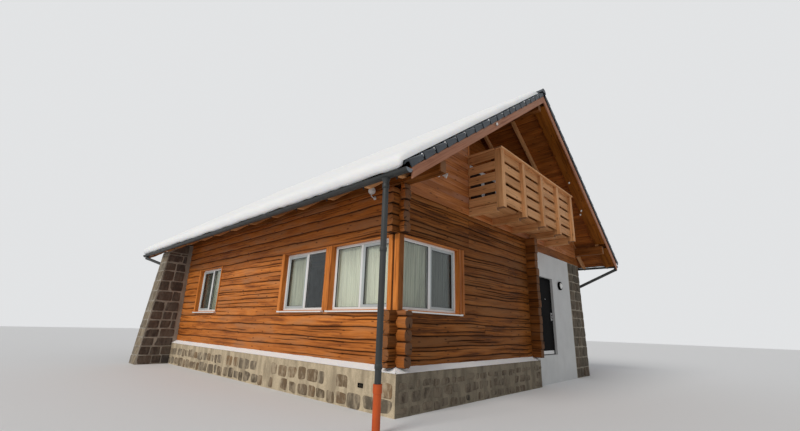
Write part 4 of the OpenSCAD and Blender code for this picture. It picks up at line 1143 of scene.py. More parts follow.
def gables():
    board_pitch, recess_pitch = 0.135, 0.14
    mesh, trim = Mesh(), Mesh()
    for x, x0, x1 in ((BALCONY_X0, LOG_T, BALCONY_X0), (BALCONY_X1, BALCONY_X1, HOUSE_W - LOG_T)):
        wall_boards(mesh, on_front, lambda z: slope_span(z, x0, x1), FRONT_Z1, rafter_under(x), board_pitch)
    for x, out in ((BALCONY_X0, -1), (BALCONY_X1, 1)):
        a, b = sorted((x, x - out * 0.06))
        beam(trim, (a, -0.028, RECESS_Z0), (b, 0.12, rafter_under(x) - 0.01), 2, 0.004)
    for x in POST_XS[:-1]:
        wall_boards(mesh, on_front, lambda z: (x + POST_B, x + POST_PITCH), FRONT_Z1,
                    RECESS_Z0 - 0.035, 0.16)
    x0, x1, door_z1 = RECESS_DOOR[0] - 0.07, RECESS_DOOR[1] + 0.07, RECESS_DOOR[2] + 0.07
    wall_boards(mesh, in_recess, lambda z: slope_span(z, BALCONY_X0, BALCONY_X1), RECESS_Z0,
                rafter_under(MID_X) - 0.22, recess_pitch, (x0, x1, RECESS_Z0, door_z1), 0.018, 1)
    for x, inward in ((BALCONY_X0, -1), (BALCONY_X1, 1)):
        wall_boards(mesh, along_y(x, inward), lambda z: (GABLE_T, RECESS_D - 0.02), RECESS_Z0,
                    rafter_under(x) - 0.004, recess_pitch, None, 0.018, 1)
    mitred(trim, in_recess, (x0, RECESS_Z0 - 0.07, x1, door_z1),
           mm(0, 20, 0, -26, 4, -30, 66, -30, 70, -26, 70, 20))
    mesh.build("gable_boards", "board_weathered soffit_brown", "board_wood")
    mesh = Mesh()
    a, b = SPANS["rear_gable"]
    wall_boards(mesh, on_rear, lambda z: slope_span(z, LOG_T, HOUSE_W - LOG_T), SIDE_Z1 + 0.02,
                rafter_under(MID_X) - 0.05, board_pitch,
                (a - 0.06, b + 0.06, REAR_GABLE_SILL - 0.06, REAR_GABLE_HEAD + 0.06))
    mesh.build("rear_gable_boards", "board_weathered", "board_wood")
    for x in (0.0, 0.145):
        beam(trim, (x + 0.002, -0.022, FRONT_Z1 - 0.04), (x + 0.135, 0.0, rafter_under(x) - 0.01), 2, 0.004)
    trim.build("gable_trim", "casing_orange", "trim_wood")
    finish_nodes("timber_along_x", "front_gable_left front_gable_right recess_walls rear_gable")
    finish_nodes("timber_along_y", "upper_floor ground_floor")


# Balcony


def balcony():
    low, high = house_box("balcony_joists")
    rail_low, rail_high = house_box("balcony_rail")
    post_low, post_high = house_box("balcony_posts")
    inner_posts = [x + POST_B for x in POST_XS[:-1]]
    mesh = Mesh()
    for x in POST_XS:
        beam(mesh, (x, low.y, low.z), (x + POST_B, high.y, high.z), 1, 0.010, caps=1)
    mesh.build("balcony_joist_row", "trim_tan sawn_board_end", "trim_wood", "balcony_joists")
    mesh = Mesh()
    for x in inner_posts:
        beam(mesh, (x, 0.0, low.z), (x + POST_PITCH - POST_B, GABLE_T, FLOOR_LOW.z), 0, 0.004)
    mesh.build("joist_blocks", "board_brown", "board_wood", "joist_blocking")
    mesh = Mesh()
    y = -BALCONY_OUT
    while y < RECESS_D - 0.02:
        end = min(y + DECK_BOARD_B, RECESS_D)
        inset = 0.03 if y < 0 else 0.0
        beam(mesh, (BALCONY_X0 + inset, y, FLOOR_LOW.z), (BALCONY_X1 - inset, end - 0.004, RECESS_Z0),
             0, 0.004)
        y = end
    mesh.build("balcony_deck_boards", "trim_tan", "board_wood", "balcony_floor")
    mesh = Mesh()
    for x in POST_XS:
        beam(mesh, (x, post_low.y, post_low.z), (x + POST_B, post_high.y, post_high.z), 2, 0.007, caps=1)
    mesh.build("balcony_post_row", "trim_tan sawn_board_end", "trim_wood", "balcony_posts")
    mesh = Mesh()
    y = house_box("balcony_panels")[0].y
    for k in range(5):
        z1 = post_high.z - k * (SLAT_H + SLAT_GAP)
        z0 = z1 - SLAT_H
        for x in inner_posts:
            beam(mesh, (x - 0.002, y, z0), (x + POST_PITCH - POST_B + 0.002, y + SLAT_T, z1), 0)
        for x in (BALCONY_X0, BALCONY_X1 - SLAT_T):
            beam(mesh, (x, -BALCONY_OUT, z0), (x + SLAT_T, 0.0, z1), 1)
    mesh.build("balcony_slats", "trim_tan", "trim_wood", "balcony_panels")
    mesh = Mesh()
    y, z0, z1 = rail_low.y + RAIL_B, rail_low.z, rail_high.z
    beam(mesh, rail_low, (rail_high.x, y, z1), 0, 0.010, 0.8, caps=1)
    for x in (rail_low.x, rail_high.x - POST_B):
        beam(mesh, (x, y + 0.001, z0), (x + POST_B, 0.0, z1), 1, 0.010, 0.7)
    mesh.build("balcony_hand_rail", "trim_tan sawn_board_end", "trim_wood", "balcony_rail")


# Windows and curtains


def sash_light(frames, panes, place, s0, z0, s1, z1, opening):
    """One light of a window: an opening sash or a fixed pane, with its bead and rubber seal."""
    out = FRAME_SETBACK
    # An opening sash takes slot 2, white PVC painted grey as the shade in the recess
    if opening:
        mitred(frames, place, (s0 - 0.002, z0 - 0.002, s1 + 0.002, z1 + 0.002),
               mm(0, 50, 0, 10, 3, 7, 38, 7, 46, 14, 46, 50, past=out), 2)
        s0, z0, s1, z1 = s0 + 0.043, z0 + 0.043, s1 - 0.043, z1 - 0.043
    face = out + (0.012 if opening else 0.008)
    mitred(frames, place, (s0, z0, s1, z1), mm(0, 30, 0, 0, 9, 6, 10, 30, past=face), 2 if opening else 0)
    mitred(frames, place, (s0 + 0.010, z0 + 0.010, s1 - 0.010, z1 - 0.010),
           mm(0, 30, 0, 8, 3, 7, 5, 11, 5, 30, past=face), 1)
    glass = face + 0.012
    beam(panes, (s0 + 0.006, glass, z0 + 0.006), (s1 - 0.006, glass + 0.022, z1 - 0.006), 0, 0.001,
         place=place)


def window(meshes, place, s0, w, z0, z1, sash, depth, casing, sill_from, sill_over):
    """One two-light window in its opening, with the boards beside it and its white sill.

    casing is how wide the boards are on the near and the far side, 0 for none."""
    frames, panes, sills, reveals, casings = meshes
    s1, out = s0 + w, FRAME_SETBACK
    mitred(reveals, place, (s0, z0, s1, z1),
           [(0.0, depth - 0.001), (0.0, 0.002), (LINING, 0.004), (LINING, depth - 0.001)])
    for a, b in ((s0 - casing[0], s0 + 0.012), (s1 - 0.012, s1 + casing[1])):
        if b - a > 0.02:
            beam(casings, (a, -0.016, z0 + 0.001), (b, 0.012, z1 + 0.010), 2, 0.004, 0.85, place=place)
    f0, f1, g0, g1 = s0 + LINING, s1 - LINING, z0 + LINING, z1 - LINING
    ring, post = 0.042, 0.026
    mitred(frames, place, (f0, g0, f1, g1), mm(0, 70, 0, 3, 3, 0, 36, 0, 42, 6, 42, 70, past=out))
    middle = (f0 + f1) / 2
    beam(frames, (middle - post, out, g0 + ring - 0.003), (middle + post, out + 0.07, g1 - ring + 0.003), 2,
         0.004, place=place)
    for label, a, b in (("near", f0 + ring, middle - post), ("far", middle + post, f1 - ring)):
        sash_light(frames, panes, place, a, g0 + ring, b, g1 - ring, sash == label)
    # Drain caps in the frame's foot
    for s in (lerp(f0, f1, 0.18), lerp(f0, f1, 0.82)):
        beam(frames, (s - 0.018, out - 0.004, g0 + 0.014), (s + 0.018, out + 0.002, g0 + 0.024), 0, 0.002,
             place=place)
    a, b, nose = sill_from, s1 + sill_over, -SILL_OUT
    outline = [(nose, -0.025), (nose, -0.004), (nose + 0.004, 0.0), (out + 0.004, 0.012),
               (out + 0.004, -0.004), (nose + 0.015, -0.014), (nose + 0.012, -0.025)]
    far = Vector(place(b, 0, 0)) - Vector(place(a, 0, 0))
    prism(sills, [place(a, d, z0 + z) for d, z in outline], far, far, 0.0015, 0.5)
    for s in (a - 0.002, b - 0.004):
        beam(sills, (s, nose - 0.002, z0 - 0.026), (s + 0.006, 0.0, z0 + 0.010), 1, 0.002, place=place)


def curtain(name, place, s0, s1, z0, z1, depth, rod, draw, fold, swell, material):
    """Gathered cloth: folds that open towards the hem, hung from a rod."""
    columns, rows = max(24, int((s1 - s0) / 0.008)), 14
    phase = draw.uniform(0, 6)
    verts, grain = [], []
    for j in range(rows + 1):
        drop = j / rows
        along = 0.0
        for i in range(columns + 1):
            s = lerp(s0, s1, i / columns)
            turn = 2 * math.pi * s / fold + phase + 1.2 * math.sin(3.1 * s + phase)
            drift = 0.006 * ripple(s * 6, drop * 2, phase)
            d = depth + swell * (0.75 + 0.5 * drop) * math.sin(turn) + drift
            p = Vector((s, d, lerp(z1, z0, drop)))
            if i:
                along += (p.xy - before.xy).length
            before = p
            verts.append(ORIGIN + Vector(place(*p)))
            grain.append((p.z, along))
    mesh = bpy.data.meshes.new(name)
    mesh.from_pydata(verts, [], rings(rows + 1, columns + 1, False))
    mesh.materials.append(M[material])
    grain_layer(mesh, grain)
    cloth = placed(name, mesh)
    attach(cloth, "house")


def windows():
    meshes = [Mesh() for _ in range(5)]
    views = []
    for name, (s, w, sash, nets, casing, sill_over) in WINDOWS.items():
        wall = name.split("_")[0]
        place = {"left": on_left, "gable": on_front, "right": on_right, "rear": on_rear}[wall]
        z0, z1, depth = SILL_Z, HEAD_Z, LOG_T
        if wall == "rear":
            s, depth = HOUSE_W - s - w, HOUSE_D - LOG_D
        if name == "rear_gable":
            z0, z1, depth = REAR_GABLE_SILL, REAR_GABLE_HEAD, GABLE_T + 0.06
        sill_from = LOG_T if wall == "gable" else s - 0.02
        window(meshes, place, s, w, z0, z1, sash, depth, casing, sill_from, sill_over)
        views.append((name, place, s, s + w, z0, z1, depth + ROD_OUT, nets))
    frames, panes, sills, reveals, casings = meshes
    frames.build("window_profiles", "pvc_white gasket_black sash_grey", "white_pvc", "window_frames")
    panes.build("window_panes", "glass", "window_glass", "window_glass")
    sills.build("window_sill_sheets", "pvc_white", "white_pvc", "window_sills")
    reveals.build("window_reveals", "casing_orange", "trim_wood", "window_linings")
    corner_casings(casings)
    casings.build("window_casings", "casing_orange board_brown", "trim_wood", "window_posts")
    rods = Mesh()
    for name, place, s0, s1, z0, z1, depth, nets in views:
        high = z1 + 0.06
        ends = [place(s, depth, high) for s in (s0 - 0.05, s1 + 0.05)]
        for s, end in zip((s0 - 0.05, s1 + 0.05), ends):
            turned(rods, end, Vector(place(1, 0, 0)) - Vector(place(0, 0, 0)),
                   mm(6, -30, 18, -20, 21, 0, 18, 20, 6, 30), 14)
            tube(rods, [place(s, depth - ROD_OUT - 0.001, high), end], 0.006, 8)
        tube(rods, ends, 0.009, 10)
        tube(rods, [place(s, NET_DEPTH, z1 - 0.036) for s in (s0 + 0.019, s1 - 0.019)], 0.005, 8)
    rods = rods.build("curtain_rods", "steel_brushed", "handle_steel")
    draw = random.Random(5)
    for name, place, s0, s1, z0, z1, depth, nets in views:
        middle = s0 + (s1 - s0) / 2
        for end, a, b, net in (("near", s0 + 0.024, middle - 0.002, nets[0]),
                               ("far", middle + 0.002, s1 - 0.024, nets[1])):
            if net:
                curtain("net_%s_%s" % (name, end), place, a, b, z0 + 0.032, z1 - 0.036, NET_DEPTH,
                        rods, draw, *NET_FOLDS, net)
        for end, a, b in (("near", s0 - DRAPE_PAST, s0 + DRAPE_B), ("far", s1 - DRAPE_B, s1 + DRAPE_PAST)):
            curtain("drape_%s_%s" % (name, end), place, a, b, z0 - 0.12, z1 + 0.06, depth,
                    rods, draw, *DRAPE_FOLDS, "curtain_drape")


def corner_casings(casings):
    """Boards of the posts at the near corner and between the two front windows of the long wall."""
    z0, z1 = SILL_Z + 0.001, HEAD_Z - 0.001
    corner_y, corner_x = SPANS["left_1"][0], SPANS["gable"][0]
    a, b, far = SPANS["left_1"][1], SPANS["left_2"][0], SPANS["gable"][1]
    # Low x and y, high x and y, bevel, tone, material slot and painted shade, which darkens the block in the
    # inner corner and the strip in the jamb
    for x0, y0, x1, y1, bevel, tone, slot, shade_and_dirt in (
            (0.012, 0.012, corner_x, corner_y, 0.004, None, 1, 0.7),
            (-0.010, 0.0, 0.014, 0.102, 0.005, 0.9, 0, 0.0),
            (-0.010, 0.150, 0.014, corner_y + 0.016, 0.005, 0.9, 0, 0.0),
            (0.012, -0.008, corner_x + 0.010, 0.016, 0.005, 0.5, 1, 0.0),
            (0.004, a, LOG_T, b, 0.004, None, 0, 0.0),
            (-0.014, a + 0.010, 0.010, b + 0.026, 0.005, 0.95, 0, 0.0),
            (-0.006, a - 0.014, 0.010, a + 0.007, 0.004, 0.6, 0, 0.3)):
        beam(casings, (x0, y0, z0), (x1, y1, z1), 2, bevel, tone, slot, shade=shade_and_dirt)
    # Boards right of the gable window: low tones and painted shade darken them as the shade on the gable
    for x0, x1, y0, bevel, tone, shade_and_dirt in ((0.0, 0.030, -0.012, 0.004, 0.3, 0.20),
                                          (0.030, 0.100, -0.001, 0.003, 0.1, 0.36),
                                          (0.100, 0.168, -0.012, 0.004, 0.2, 0.24)):
        low = far + x0 if x0 else far - 0.012
        beam(casings, (low, y0, z0), (far + x1, 0.012, z1 + 0.012), 2, bevel, tone, shade=shade_and_dirt)


# Masonry

STONE_RISE = 0.011
# Share of the outline and of the height, from the bed up to the crown
CROWN = ((1.0, -0.35), (0.985, 0.35), (0.93, 0.78), (0.78, 1.0), (0.45, 1.08), (0.15, 1.1))


def sides_of(cell):
    return zip(cell, cell[1:] + cell[:1])


def clip(cell, point, normal):
    """Part of a convex cell on the side of a line that its normal points away from."""
    kept = []
    for p, q in sides_of(cell):
        a, b = (p - point).dot(normal), (q - point).dot(normal)
        if a <= 0:
            kept.append(p)
        if (a < 0 < b) or (b < 0 < a):
            kept.append(p.lerp(q, a / (a - b)))
    return kept


def shrunk(cell, gap):
    """Convex cell with every side moved in."""
    middle = sum(cell, Vector((0, 0))) / len(cell)
    small = list(cell)
    for p, q in sides_of(cell):
        if (q - p).length < 1e-6:
            continue
        normal = Vector(((q - p).y, -(q - p).x)).normalized()
        if (middle - p).dot(normal) > 0:
            normal = -normal
        small = clip(small, p - normal * gap, normal)
        if len(small) < 3:
            return []
    return small


def corners_cut(cell, share):
    return [p.lerp(q, t) for p, q in sides_of(cell) for t in (share, 1 - share)]


def pillow(mesh, place, cell, soft, draw, rise, slot=0):
    """Stone with an uneven, domed face: its outline in steps up to a crown."""
    cell = corners_cut(corners_cut(cell, soft), 0.2)
    middle = sum(cell, Vector((0, 0))) / len(cell)
    tilt_s, tilt_z = draw.uniform(-0.05, 0.05), draw.uniform(-0.05, 0.05)
    seed = draw.uniform(0, 200)
    verts, grain = [], []
    for share, up in CROWN:
        for p in cell:
            q = middle.lerp(p, share)
            lift = rise * up
            if up > 0:
                bump = ripple(q.x * 11, q.y * 11, seed) * 0.007 + ripple(q.x * 30, q.y * 30, seed) * 0.003
                lift += bump + (q.x - middle.x) * tilt_s + (q.y - middle.y) * tilt_z
            verts.append(place(q.x, -lift, q.y))
            grain.append((q.x, q.y))
    n, last = len(cell), len(CROWN) - 1
    faces = rings(len(CROWN), n) + [tuple(last * n + j for j in range(n))]
    # The ring at the bed and the next one up are painted darker as shade in the joint
    mesh.add(verts, faces, grain, draw.random(), [0.5] * n + [0.15] * n + [0.0] * (n * (last - 1)), slot)


def stone_cell(draw, corners, stray):
    """Outline of a stone from its corners (s, z), each moved by up to stray."""
    cell = [Vector(corner) for corner in corners]
    for corner in cell:
        corner += Vector((draw.uniform(-stray, stray), draw.uniform(-stray, stray)))
    return cell


def fieldstones(mesh, place, draw, s0, s1, rows, widths):
    """Squarish stones in rows (z0, z1, share kept, slot), with mortar where one is missing."""
    for z0, z1, kept, slot in rows:
        s = s0 + draw.uniform(0.02, 0.10)
        while s < s1 - widths[0]:
            width = min(draw.uniform(*widths), s1 - s)
            low, high = z0 + draw.uniform(0.0, 0.035), z1 - draw.uniform(0.0, 0.045)
            if draw.random() < kept:
                cell = stone_cell(draw, ((s, low), (s + width, low), (s + width, high), (s, high)), 0.018)
                pillow(mesh, place, cell, 0.13, draw, STONE_RISE * draw.uniform(0.4, 1.3), slot)
            s += width + draw.uniform(0.030, 0.075)


def coursed(mesh, place, draw, span, levels, lengths, gap=0.015, rise=0.010, openings=()):
    """Squared blocks in courses between span(z)'s ends, clear of the openings (s0, s1, z0, z1)."""
    for z0, z1 in zip(levels, levels[1:]):
        breaks = [(a, b) for a, b, low, high in openings if low < (z0 + z1) / 2 < high]
        starts = [(span(z0)[0], span(z1)[0])] + [(b, b) for _, b in breaks]
        ends = [(a, a) for a, _ in breaks] + [(span(z0)[1], span(z1)[1])]
        for (low_a, high_a), (low_b, high_b) in zip(starts, ends):
            width = min(low_b, high_b) - max(low_a, high_a)
            if width < 0.08:
                continue
            cuts = [0.0]
            while cuts[-1] < 1.0:
                cuts.append(cuts[-1] + draw.uniform(*lengths) / width)
            if len(cuts) > 2 and 1.0 - cuts[-2] < 0.4 * lengths[0] / width:
                cuts.pop(-2)
            cuts[-1] = 1.0
            for a, b in zip(cuts, cuts[1:]):
                corners = ((lerp(low_a, low_b, a), z0), (lerp(low_a, low_b, b), z0),
                           (lerp(high_a, high_b, b), z1), (lerp(high_a, high_b, a), z1))
                cell = shrunk(stone_cell(draw, corners, 0.010), gap * draw.uniform(0.8, 1.25))
                if len(cell) > 2:
                    pillow(mesh, place, cell, 0.07, draw, rise * draw.uniform(0.6, 1.3))


def masonry():
    draw = random.Random(17)
    mesh, shaded = Mesh(), Mesh()
    foot_z = GROUND_Z + 0.01
    rows = [(foot_z, -0.455, 0.94, 0), (-0.43, -0.19, 0.90, 1)]
    front_rows = [(foot_z, -0.53, 0.85, 0), (-0.51, -0.34, 0.88, 0), (-0.32, -0.19, 0.80, 0)]
    fieldstones(mesh, on_plinth_left, draw, -PLINTH_OUT, LOG_D, rows, (0.14, 0.34))
    fieldstones(shaded, on_plinth_front, draw, -PLINTH_OUT, CROSS_X + LOG_T, front_rows, (0.09, 0.27))
    fieldstones(mesh, on_plinth_right, draw, PIER_D, LOG_D, rows, (0.14, 0.34))
    mesh.build("plinth_stones", "rubble_stone rubble_stone_smeared", "rubble_stone")
    shaded.build("front_plinth_stones", "rubble_stone_small_shaded", "rubble_stone")
    foot = -house_box("rear_wall")[0].x

    def outer_x(z):
        return -foot + WING_BATTER * (z - GROUND_Z)

    def under_eave(z):
        return (z + 0.02 - rafter_under(0)) / SLOPE

    top = rafter_under(outer_x(2.7)) - 0.01
    levels = [lerp(GROUND_Z, SILL_Z, i / 6) for i in range(6)]
    levels += [lerp(SILL_Z, HEAD_Z, i / 4) for i in range(4)]
    levels += [HEAD_Z, HEAD_Z + 0.27, HEAD_Z + 0.52, top]
    mesh, edge = Mesh(), Mesh()
    for side in (0, 1):
        def wing_front(s, d, z):
            return (sided(s, side), LOG_D + d, z)

        def wing_side(s, d, z):
            return (sided(outer_x(z) + d, side), LOG_D + s, z)

        coursed(mesh, wing_front, draw, lambda z: (outer_x(z) + 0.01, -0.10), levels, (0.26, 0.46))
        coursed(edge, wing_side, draw, lambda z: (0.01, HOUSE_D - LOG_D - 0.01), levels, (0.28, 0.40))
        coursed(mesh, wing_front, draw, lambda z: (under_eave(z), -0.10),
                [top + 0.004, rafter_under(-0.24) - 0.02], (0.26, 0.46))
    holes = []
    for name in ("rear_2", "rear_1"):
        s, w = WINDOWS[name][:2]
        holes.append((HOUSE_W - s - w, HOUSE_W - s, SILL_Z, HEAD_Z))
    over = HEAD_Z + 0.70
    coursed(mesh, on_rear, draw, lambda z: (outer_x(z) + 0.01, HOUSE_W - outer_x(z) - 0.01),
            levels[:-1] + [over], (0.28, 0.48), openings=holes)
    coursed(mesh, on_rear, draw, lambda z: (LOG_T, HOUSE_W - LOG_T), [over, SIDE_Z1 - 0.05], (0.28, 0.48))
    mesh.build("wing_blocks", "block_stone", "coursed_stone")
    edge.build("wing_edge_blocks", "block_stone_lit", "coursed_stone")
    mesh = Mesh()

    def pier_x(z):
        return HOUSE_W + (PIER_HIGH.x - HOUSE_W) * (PIER_HIGH.z - z) / (PIER_HIGH.z - GROUND_Z)

    def pier_side(s, d, z):
        return (pier_x(z) - d, s, z)

    levels = [GROUND_Z]
    while levels[-1] < PIER_HIGH.z - 0.16:
        levels.append(levels[-1] + draw.uniform(0.24, 0.31))
    levels[-1] = PIER_HIGH.z - 0.005
    coursed(mesh, on_front, draw, lambda z: (PIER_X + 0.02, pier_x(z) - 0.008), levels, (0.24, 0.46),
            0.013, 0.014)
    coursed(mesh, pier_side, draw, lambda z: (0.008, PIER_D - 0.01), levels, (0.26, 0.40), 0.013, 0.014)
    mesh.build("pier_blocks", "rubble_stone_shaded", "coursed_stone")
    finish_nodes("mortar_beige", "plinth_left plinth_right")
    finish_nodes("mortar_shaded", "plinth_front")
    finish_nodes("mortar_grey", "rear_wall")
    finish_nodes("mortar_pale", "front_right_pier")
    finish_nodes("render_white", "entrance_walls entrance_wall_head")
    mesh = Mesh()
    low, high = house_box("entrance_beam")
    beam(mesh, low, (high.x, 0.25, high.z), 0, 0.010, 0.5)
    beam(mesh, (PIER_X, 0.252, low.z), high, 1, 0.010, 0.4)
    mesh.build("entrance_beam_hewn", "board_brown", "board_wood", "entrance_beam")


# Roof covering

TILE_GAUGE = SLOPE_LENGTH / TILE_ROWS
TILES_Y0, TILES_Y1 = ROOF_Y0 - TILE_OVER, ROOF_Y1 + TILE_OVER
# Share of the tile's width and height of its roll
TILE_ROLL = [(0.0, 0.010), (0.08, 0.022), (0.17, 0.027), (0.27, 0.022), (0.38, 0.004), (0.62, 0.0),
             (0.85, 0.002), (1.0, 0.010)]


def tiles():
    width = (TILES_Y1 - TILES_Y0) / TILE_COLUMNS
    draw = random.Random(29)
    for side, label in enumerate(SIDES):
        mesh = Mesh()
        for row in range(TILE_ROWS):
            s0 = row * TILE_GAUGE - (0.04 if row == 0 else 0.012)
            s1 = (row + 1) * TILE_GAUGE
            for column in range(TILE_COLUMNS):
                a = TILES_Y0 + column * width
                tilt = draw.uniform(-0.0015, 0.0015)
                nose = s0 + 0.006
                verts, grain = [], []
                for s, h in ((s0, 0.066), (s0, 0.094 + tilt), (nose, 0.097 + tilt), (s1, 0.072 + tilt)):
                    for t, roll in TILE_ROLL:
                        verts.append(on_slope(s, h + roll, side, a + t * width))
                        grain.append((s, a + t * width))
                mesh.add(verts, rings(4, len(TILE_ROLL), False), grain, draw.random())
            for y in (TILES_Y0, TILES_Y1 - VERGE_TILE_T):
                low, high = s0 - 0.006, s1 - VERGE_GAP
                outline = [on_slope(s, h, side, y)
                           for s, h in ((low, -0.006), (high, 0.014), (high, 0.088), (low, 0.122))]
                prism(mesh, outline, (0, VERGE_TILE_T, 0), (1, 0, 0), 0.005, draw.random())
        mesh.build("tile_courses_" + label, "tile_slate_grey", "roof_tile", "roof_tiles_" + label)
    mesh = Mesh()
    centre_z = house_box("ridge_tiles")[1].z - 0.11
    count = round((TILES_Y1 - TILES_Y0) / 0.36)
    sides = 12
    for i in range(count):
        a = lerp(TILES_Y0, TILES_Y1, i / count)
        b = min(lerp(TILES_Y0, TILES_Y1, (i + 1) / count) + 0.03, TILES_Y1)
        verts, grain = [], []
        for y, r in ((a, 0.100), (a, 0.112), (a + 0.03, 0.112), (a + 0.035, 0.106), (b, 0.100)):
            for j in range(sides + 1):
                angle = math.pi * (j / sides * 1.06 - 0.03)
                verts.append((MID_X - r * math.cos(angle), y, centre_z + r * math.sin(angle) - 0.002))
                grain.append((y, angle))
        faces = rings(5, sides + 1, False)
        if i in (0, count - 1):
            start = 0 if i == 0 else 4 * (sides + 1)
            faces.append(tuple(start + j for j in range(sides + 1)))
        mesh.add(verts, faces, grain, draw.random())
    mesh.build("ridge_caps", "tile_slate_grey", "roof_tile", "ridge_tiles")


# The snow's edge over the tile noses: way up the slope, height above the deck and share of its swell
SNOW_LIP = [(-0.049, 0.070, 1.6), (-0.078, 0.040, 1.8), (-0.112, 0.048, 1.6), (-0.126, 0.095, 1.0),
            (-0.112, 0.150, 0.6), (-0.085, 0.195, 0.3)]
SNOW_EDGE = -0.045
SNOW_BED = TILE_CREST + 0.002


def snow_lip(y, side, verge):
    """Points of the snow's edge at one station, from under the noses up to the blanket."""
    points = []
    lift = 0.016 * ripple(y * 1.4, side * 3.0, 2.0) + 0.012 * ripple(y * 5.5, side, 6.0)
    share = verge ** 0.5
    for i, (s, h, swell) in enumerate(SNOW_LIP):
        out = 0.006 * ripple(y * 2.2, i * 0.7, side * 5.0)
        raised = h + max(0.0, lift + 0.004) * swell
        points.append(on_slope(lerp(SNOW_EDGE, s + out, share), lerp(SNOW_BED, raised, share), side, y))
    return points


def verge_snow(mesh):
    """Small lumps of snow caught in the gaps between the verge tiles."""
    draw = random.Random(61)
    for side, kept in ((0, 0.9), (1, 0.25)):
        for y in (TILES_Y0 + 0.034, TILES_Y1 - 0.034):
            for row in range(1, TILE_ROWS):
                if draw.random() > kept:
                    continue
                at = on_slope(row * TILE_GAUGE - VERGE_GAP / 2 - 0.004, 0.078, side, y)
                r, tall = draw.uniform(0.016, 0.026), draw.uniform(0.022, 0.036)
                profile = [(0.0, -tall), (r * 0.7, -tall * 0.75), (r, -tall * 0.2), (r * 0.9, tall * 0.4),
                           (r * 0.5, tall * 0.85), (0.0, tall)]
                turned(mesh, at, (draw.uniform(-0.2, 0.2), draw.uniform(-0.1, 0.1), 1.0), profile, 10)


def bulge(way, reach):
    """Height of a rounded edge as a share of the full one, some way in from it."""
    return math.sqrt(max(0.0, 1 - (1 - min(1.0, way / reach)) ** 2))


def snow():
    """One blanket over both slopes, with soft verges, a rounded ridge and a lip over each eave."""
    up = [lerp(SNOW_EDGE, SLOPE_LENGTH + 0.02, i / 44) for i in range(45)]
    section = [(s, 0) for s in up] + [(s, 1) for s in reversed(up[:-1])]
    edge_stations = [0.0, 0.02, 0.05, 0.10, 0.18]
    length = ROOF_Y1 - ROOF_Y0 - 2 * SNOW_INSET
    stations = edge_stations + [0.18 + (length - 0.36) * i / 80 for i in range(1, 80)]
    stations += [length - d for d in reversed(edge_stations)]
    verts, grain = [], []
    for d in stations:
        reach = min(d, length - d)
        verge = bulge(reach, 0.14)
        near = d < length / 2
        top, bottom = [], []
        for s, side in section:
            eave = bulge(s - SNOW_EDGE, 0.16)
            wander = 0.045 * ripple(s * 1.3, side * 9.1, 3.0 if near else 8.0) * max(0.0, 1 - reach / 0.5)
            y = ROOF_Y0 + SNOW_INSET + d + (wander if near else -wander)
            swell = 0.012 * ripple(s * 0.9, y * 0.8, side * 7.0)
            swell += 0.006 * ripple(s * 3.1, y * 2.7, side * 5.0)
            thick = (SNOW_T + swell - 0.006) * verge * (0.75 + 0.25 * eave)
            near_ridge = max(0.0, 1 - (SLOPE_LENGTH - s) / 0.30)
            x, _, z = on_slope(s, SNOW_BED + thick, side)
            lip = 0.02 * (1 - eave) * ripple(y * 2.0, side * 4.0, 1.0)
            top.append((x + (lip if side else -lip), y, z - 0.05 * near_ridge ** 2))
            bottom.append(on_slope(s, SNOW_BED, side, y))
        y = ROOF_Y0 + SNOW_INSET + d
        top = snow_lip(y, 0, verge) + top + snow_lip(y, 1, verge)[::-1]
        verts += top + bottom[::-1]
        grain += [p[:2] for p in top + bottom]
    mesh = Mesh()
    mesh.add(verts, rings(len(stations), 2 * len(section) + 2 * len(SNOW_LIP)), grain)
    verge_snow(mesh)
    mesh.build("roof_snow_blanket", "snow", "snow", "roof_snow_left roof_snow_right", 70)
    ledge_snow()


def ledge_snow():
    """Thin snow on the ledge of the plinth."""
    mesh = Mesh()
    draw = random.Random(41)
    deep = PLINTH_OUT + 0.007
    for place, s0, s1, thick in ((on_plinth_left, -PLINTH_OUT, LOG_D, 0.018),
                                 (on_plinth_front, -PLINTH_OUT, CROSS_X + LOG_T, 0.012),
                                 (on_plinth_right, PIER_D, LOG_D, 0.018)):
        columns = int((s1 - s0) / 0.05)
        verts, grain = [], []
        phase = draw.uniform(0, 50)
        for i in range(columns + 1):
            s = lerp(s0, s1, i / columns)
            lift = thick * (0.75 + 0.5 * ripple(s * 2.3, phase, 0) + 0.25 * ripple(s * 7.1, phase, 4))
            section = [(0.0, LEDGE_Z - 0.004), (-0.012 - 0.3 * lift, LEDGE_Z + 0.2 * lift),
                       (0.004, LEDGE_Z + lift), (0.055, lerp(LEDGE_Z, WALL_Z0, 0.46) + lift),
                       (deep, WALL_Z0 + lift * 0.8 + 0.01), (deep, WALL_Z0 - 0.01)]
            for d, z in section:
                verts.append(place(max(s, d - PLINTH_OUT) if s < 0 else s, d, z))
                grain.append((s, d))
        ends = [tuple(range(6)), tuple(columns * 6 + j for j in range(6))]
        mesh.add(verts, rings(columns + 1, 6) + ends, grain)
    mesh.build("ledge_snow", "snow", "snow", "", 50)


# Gutters, pipes and small fittings

UP, OUT, BACK = (0, 0, 1), (0, -1, 0), (0, 1, 0)


def half_ring(x, z, radius, steps):
    """Points (x, z) under a gutter's middle, from one lip to the other."""
    angles = [math.pi * (1 + i / steps) for i in range(steps + 1)]
    return [(x + radius * math.cos(angle), z + radius * math.sin(angle)) for angle in angles]


def strap(mesh, x, z, radius, grown, y, width, bevel):
    """Half ring round a gutter: a bracket or a sleeve."""
    outline = half_ring(x, z, radius, 12) + half_ring(x, z, radius * grown, 12)[::-1]
    prism(mesh, [(p, y - width / 2, q) for p, q in outline], (0, width, 0), BACK, bevel, 0.5)


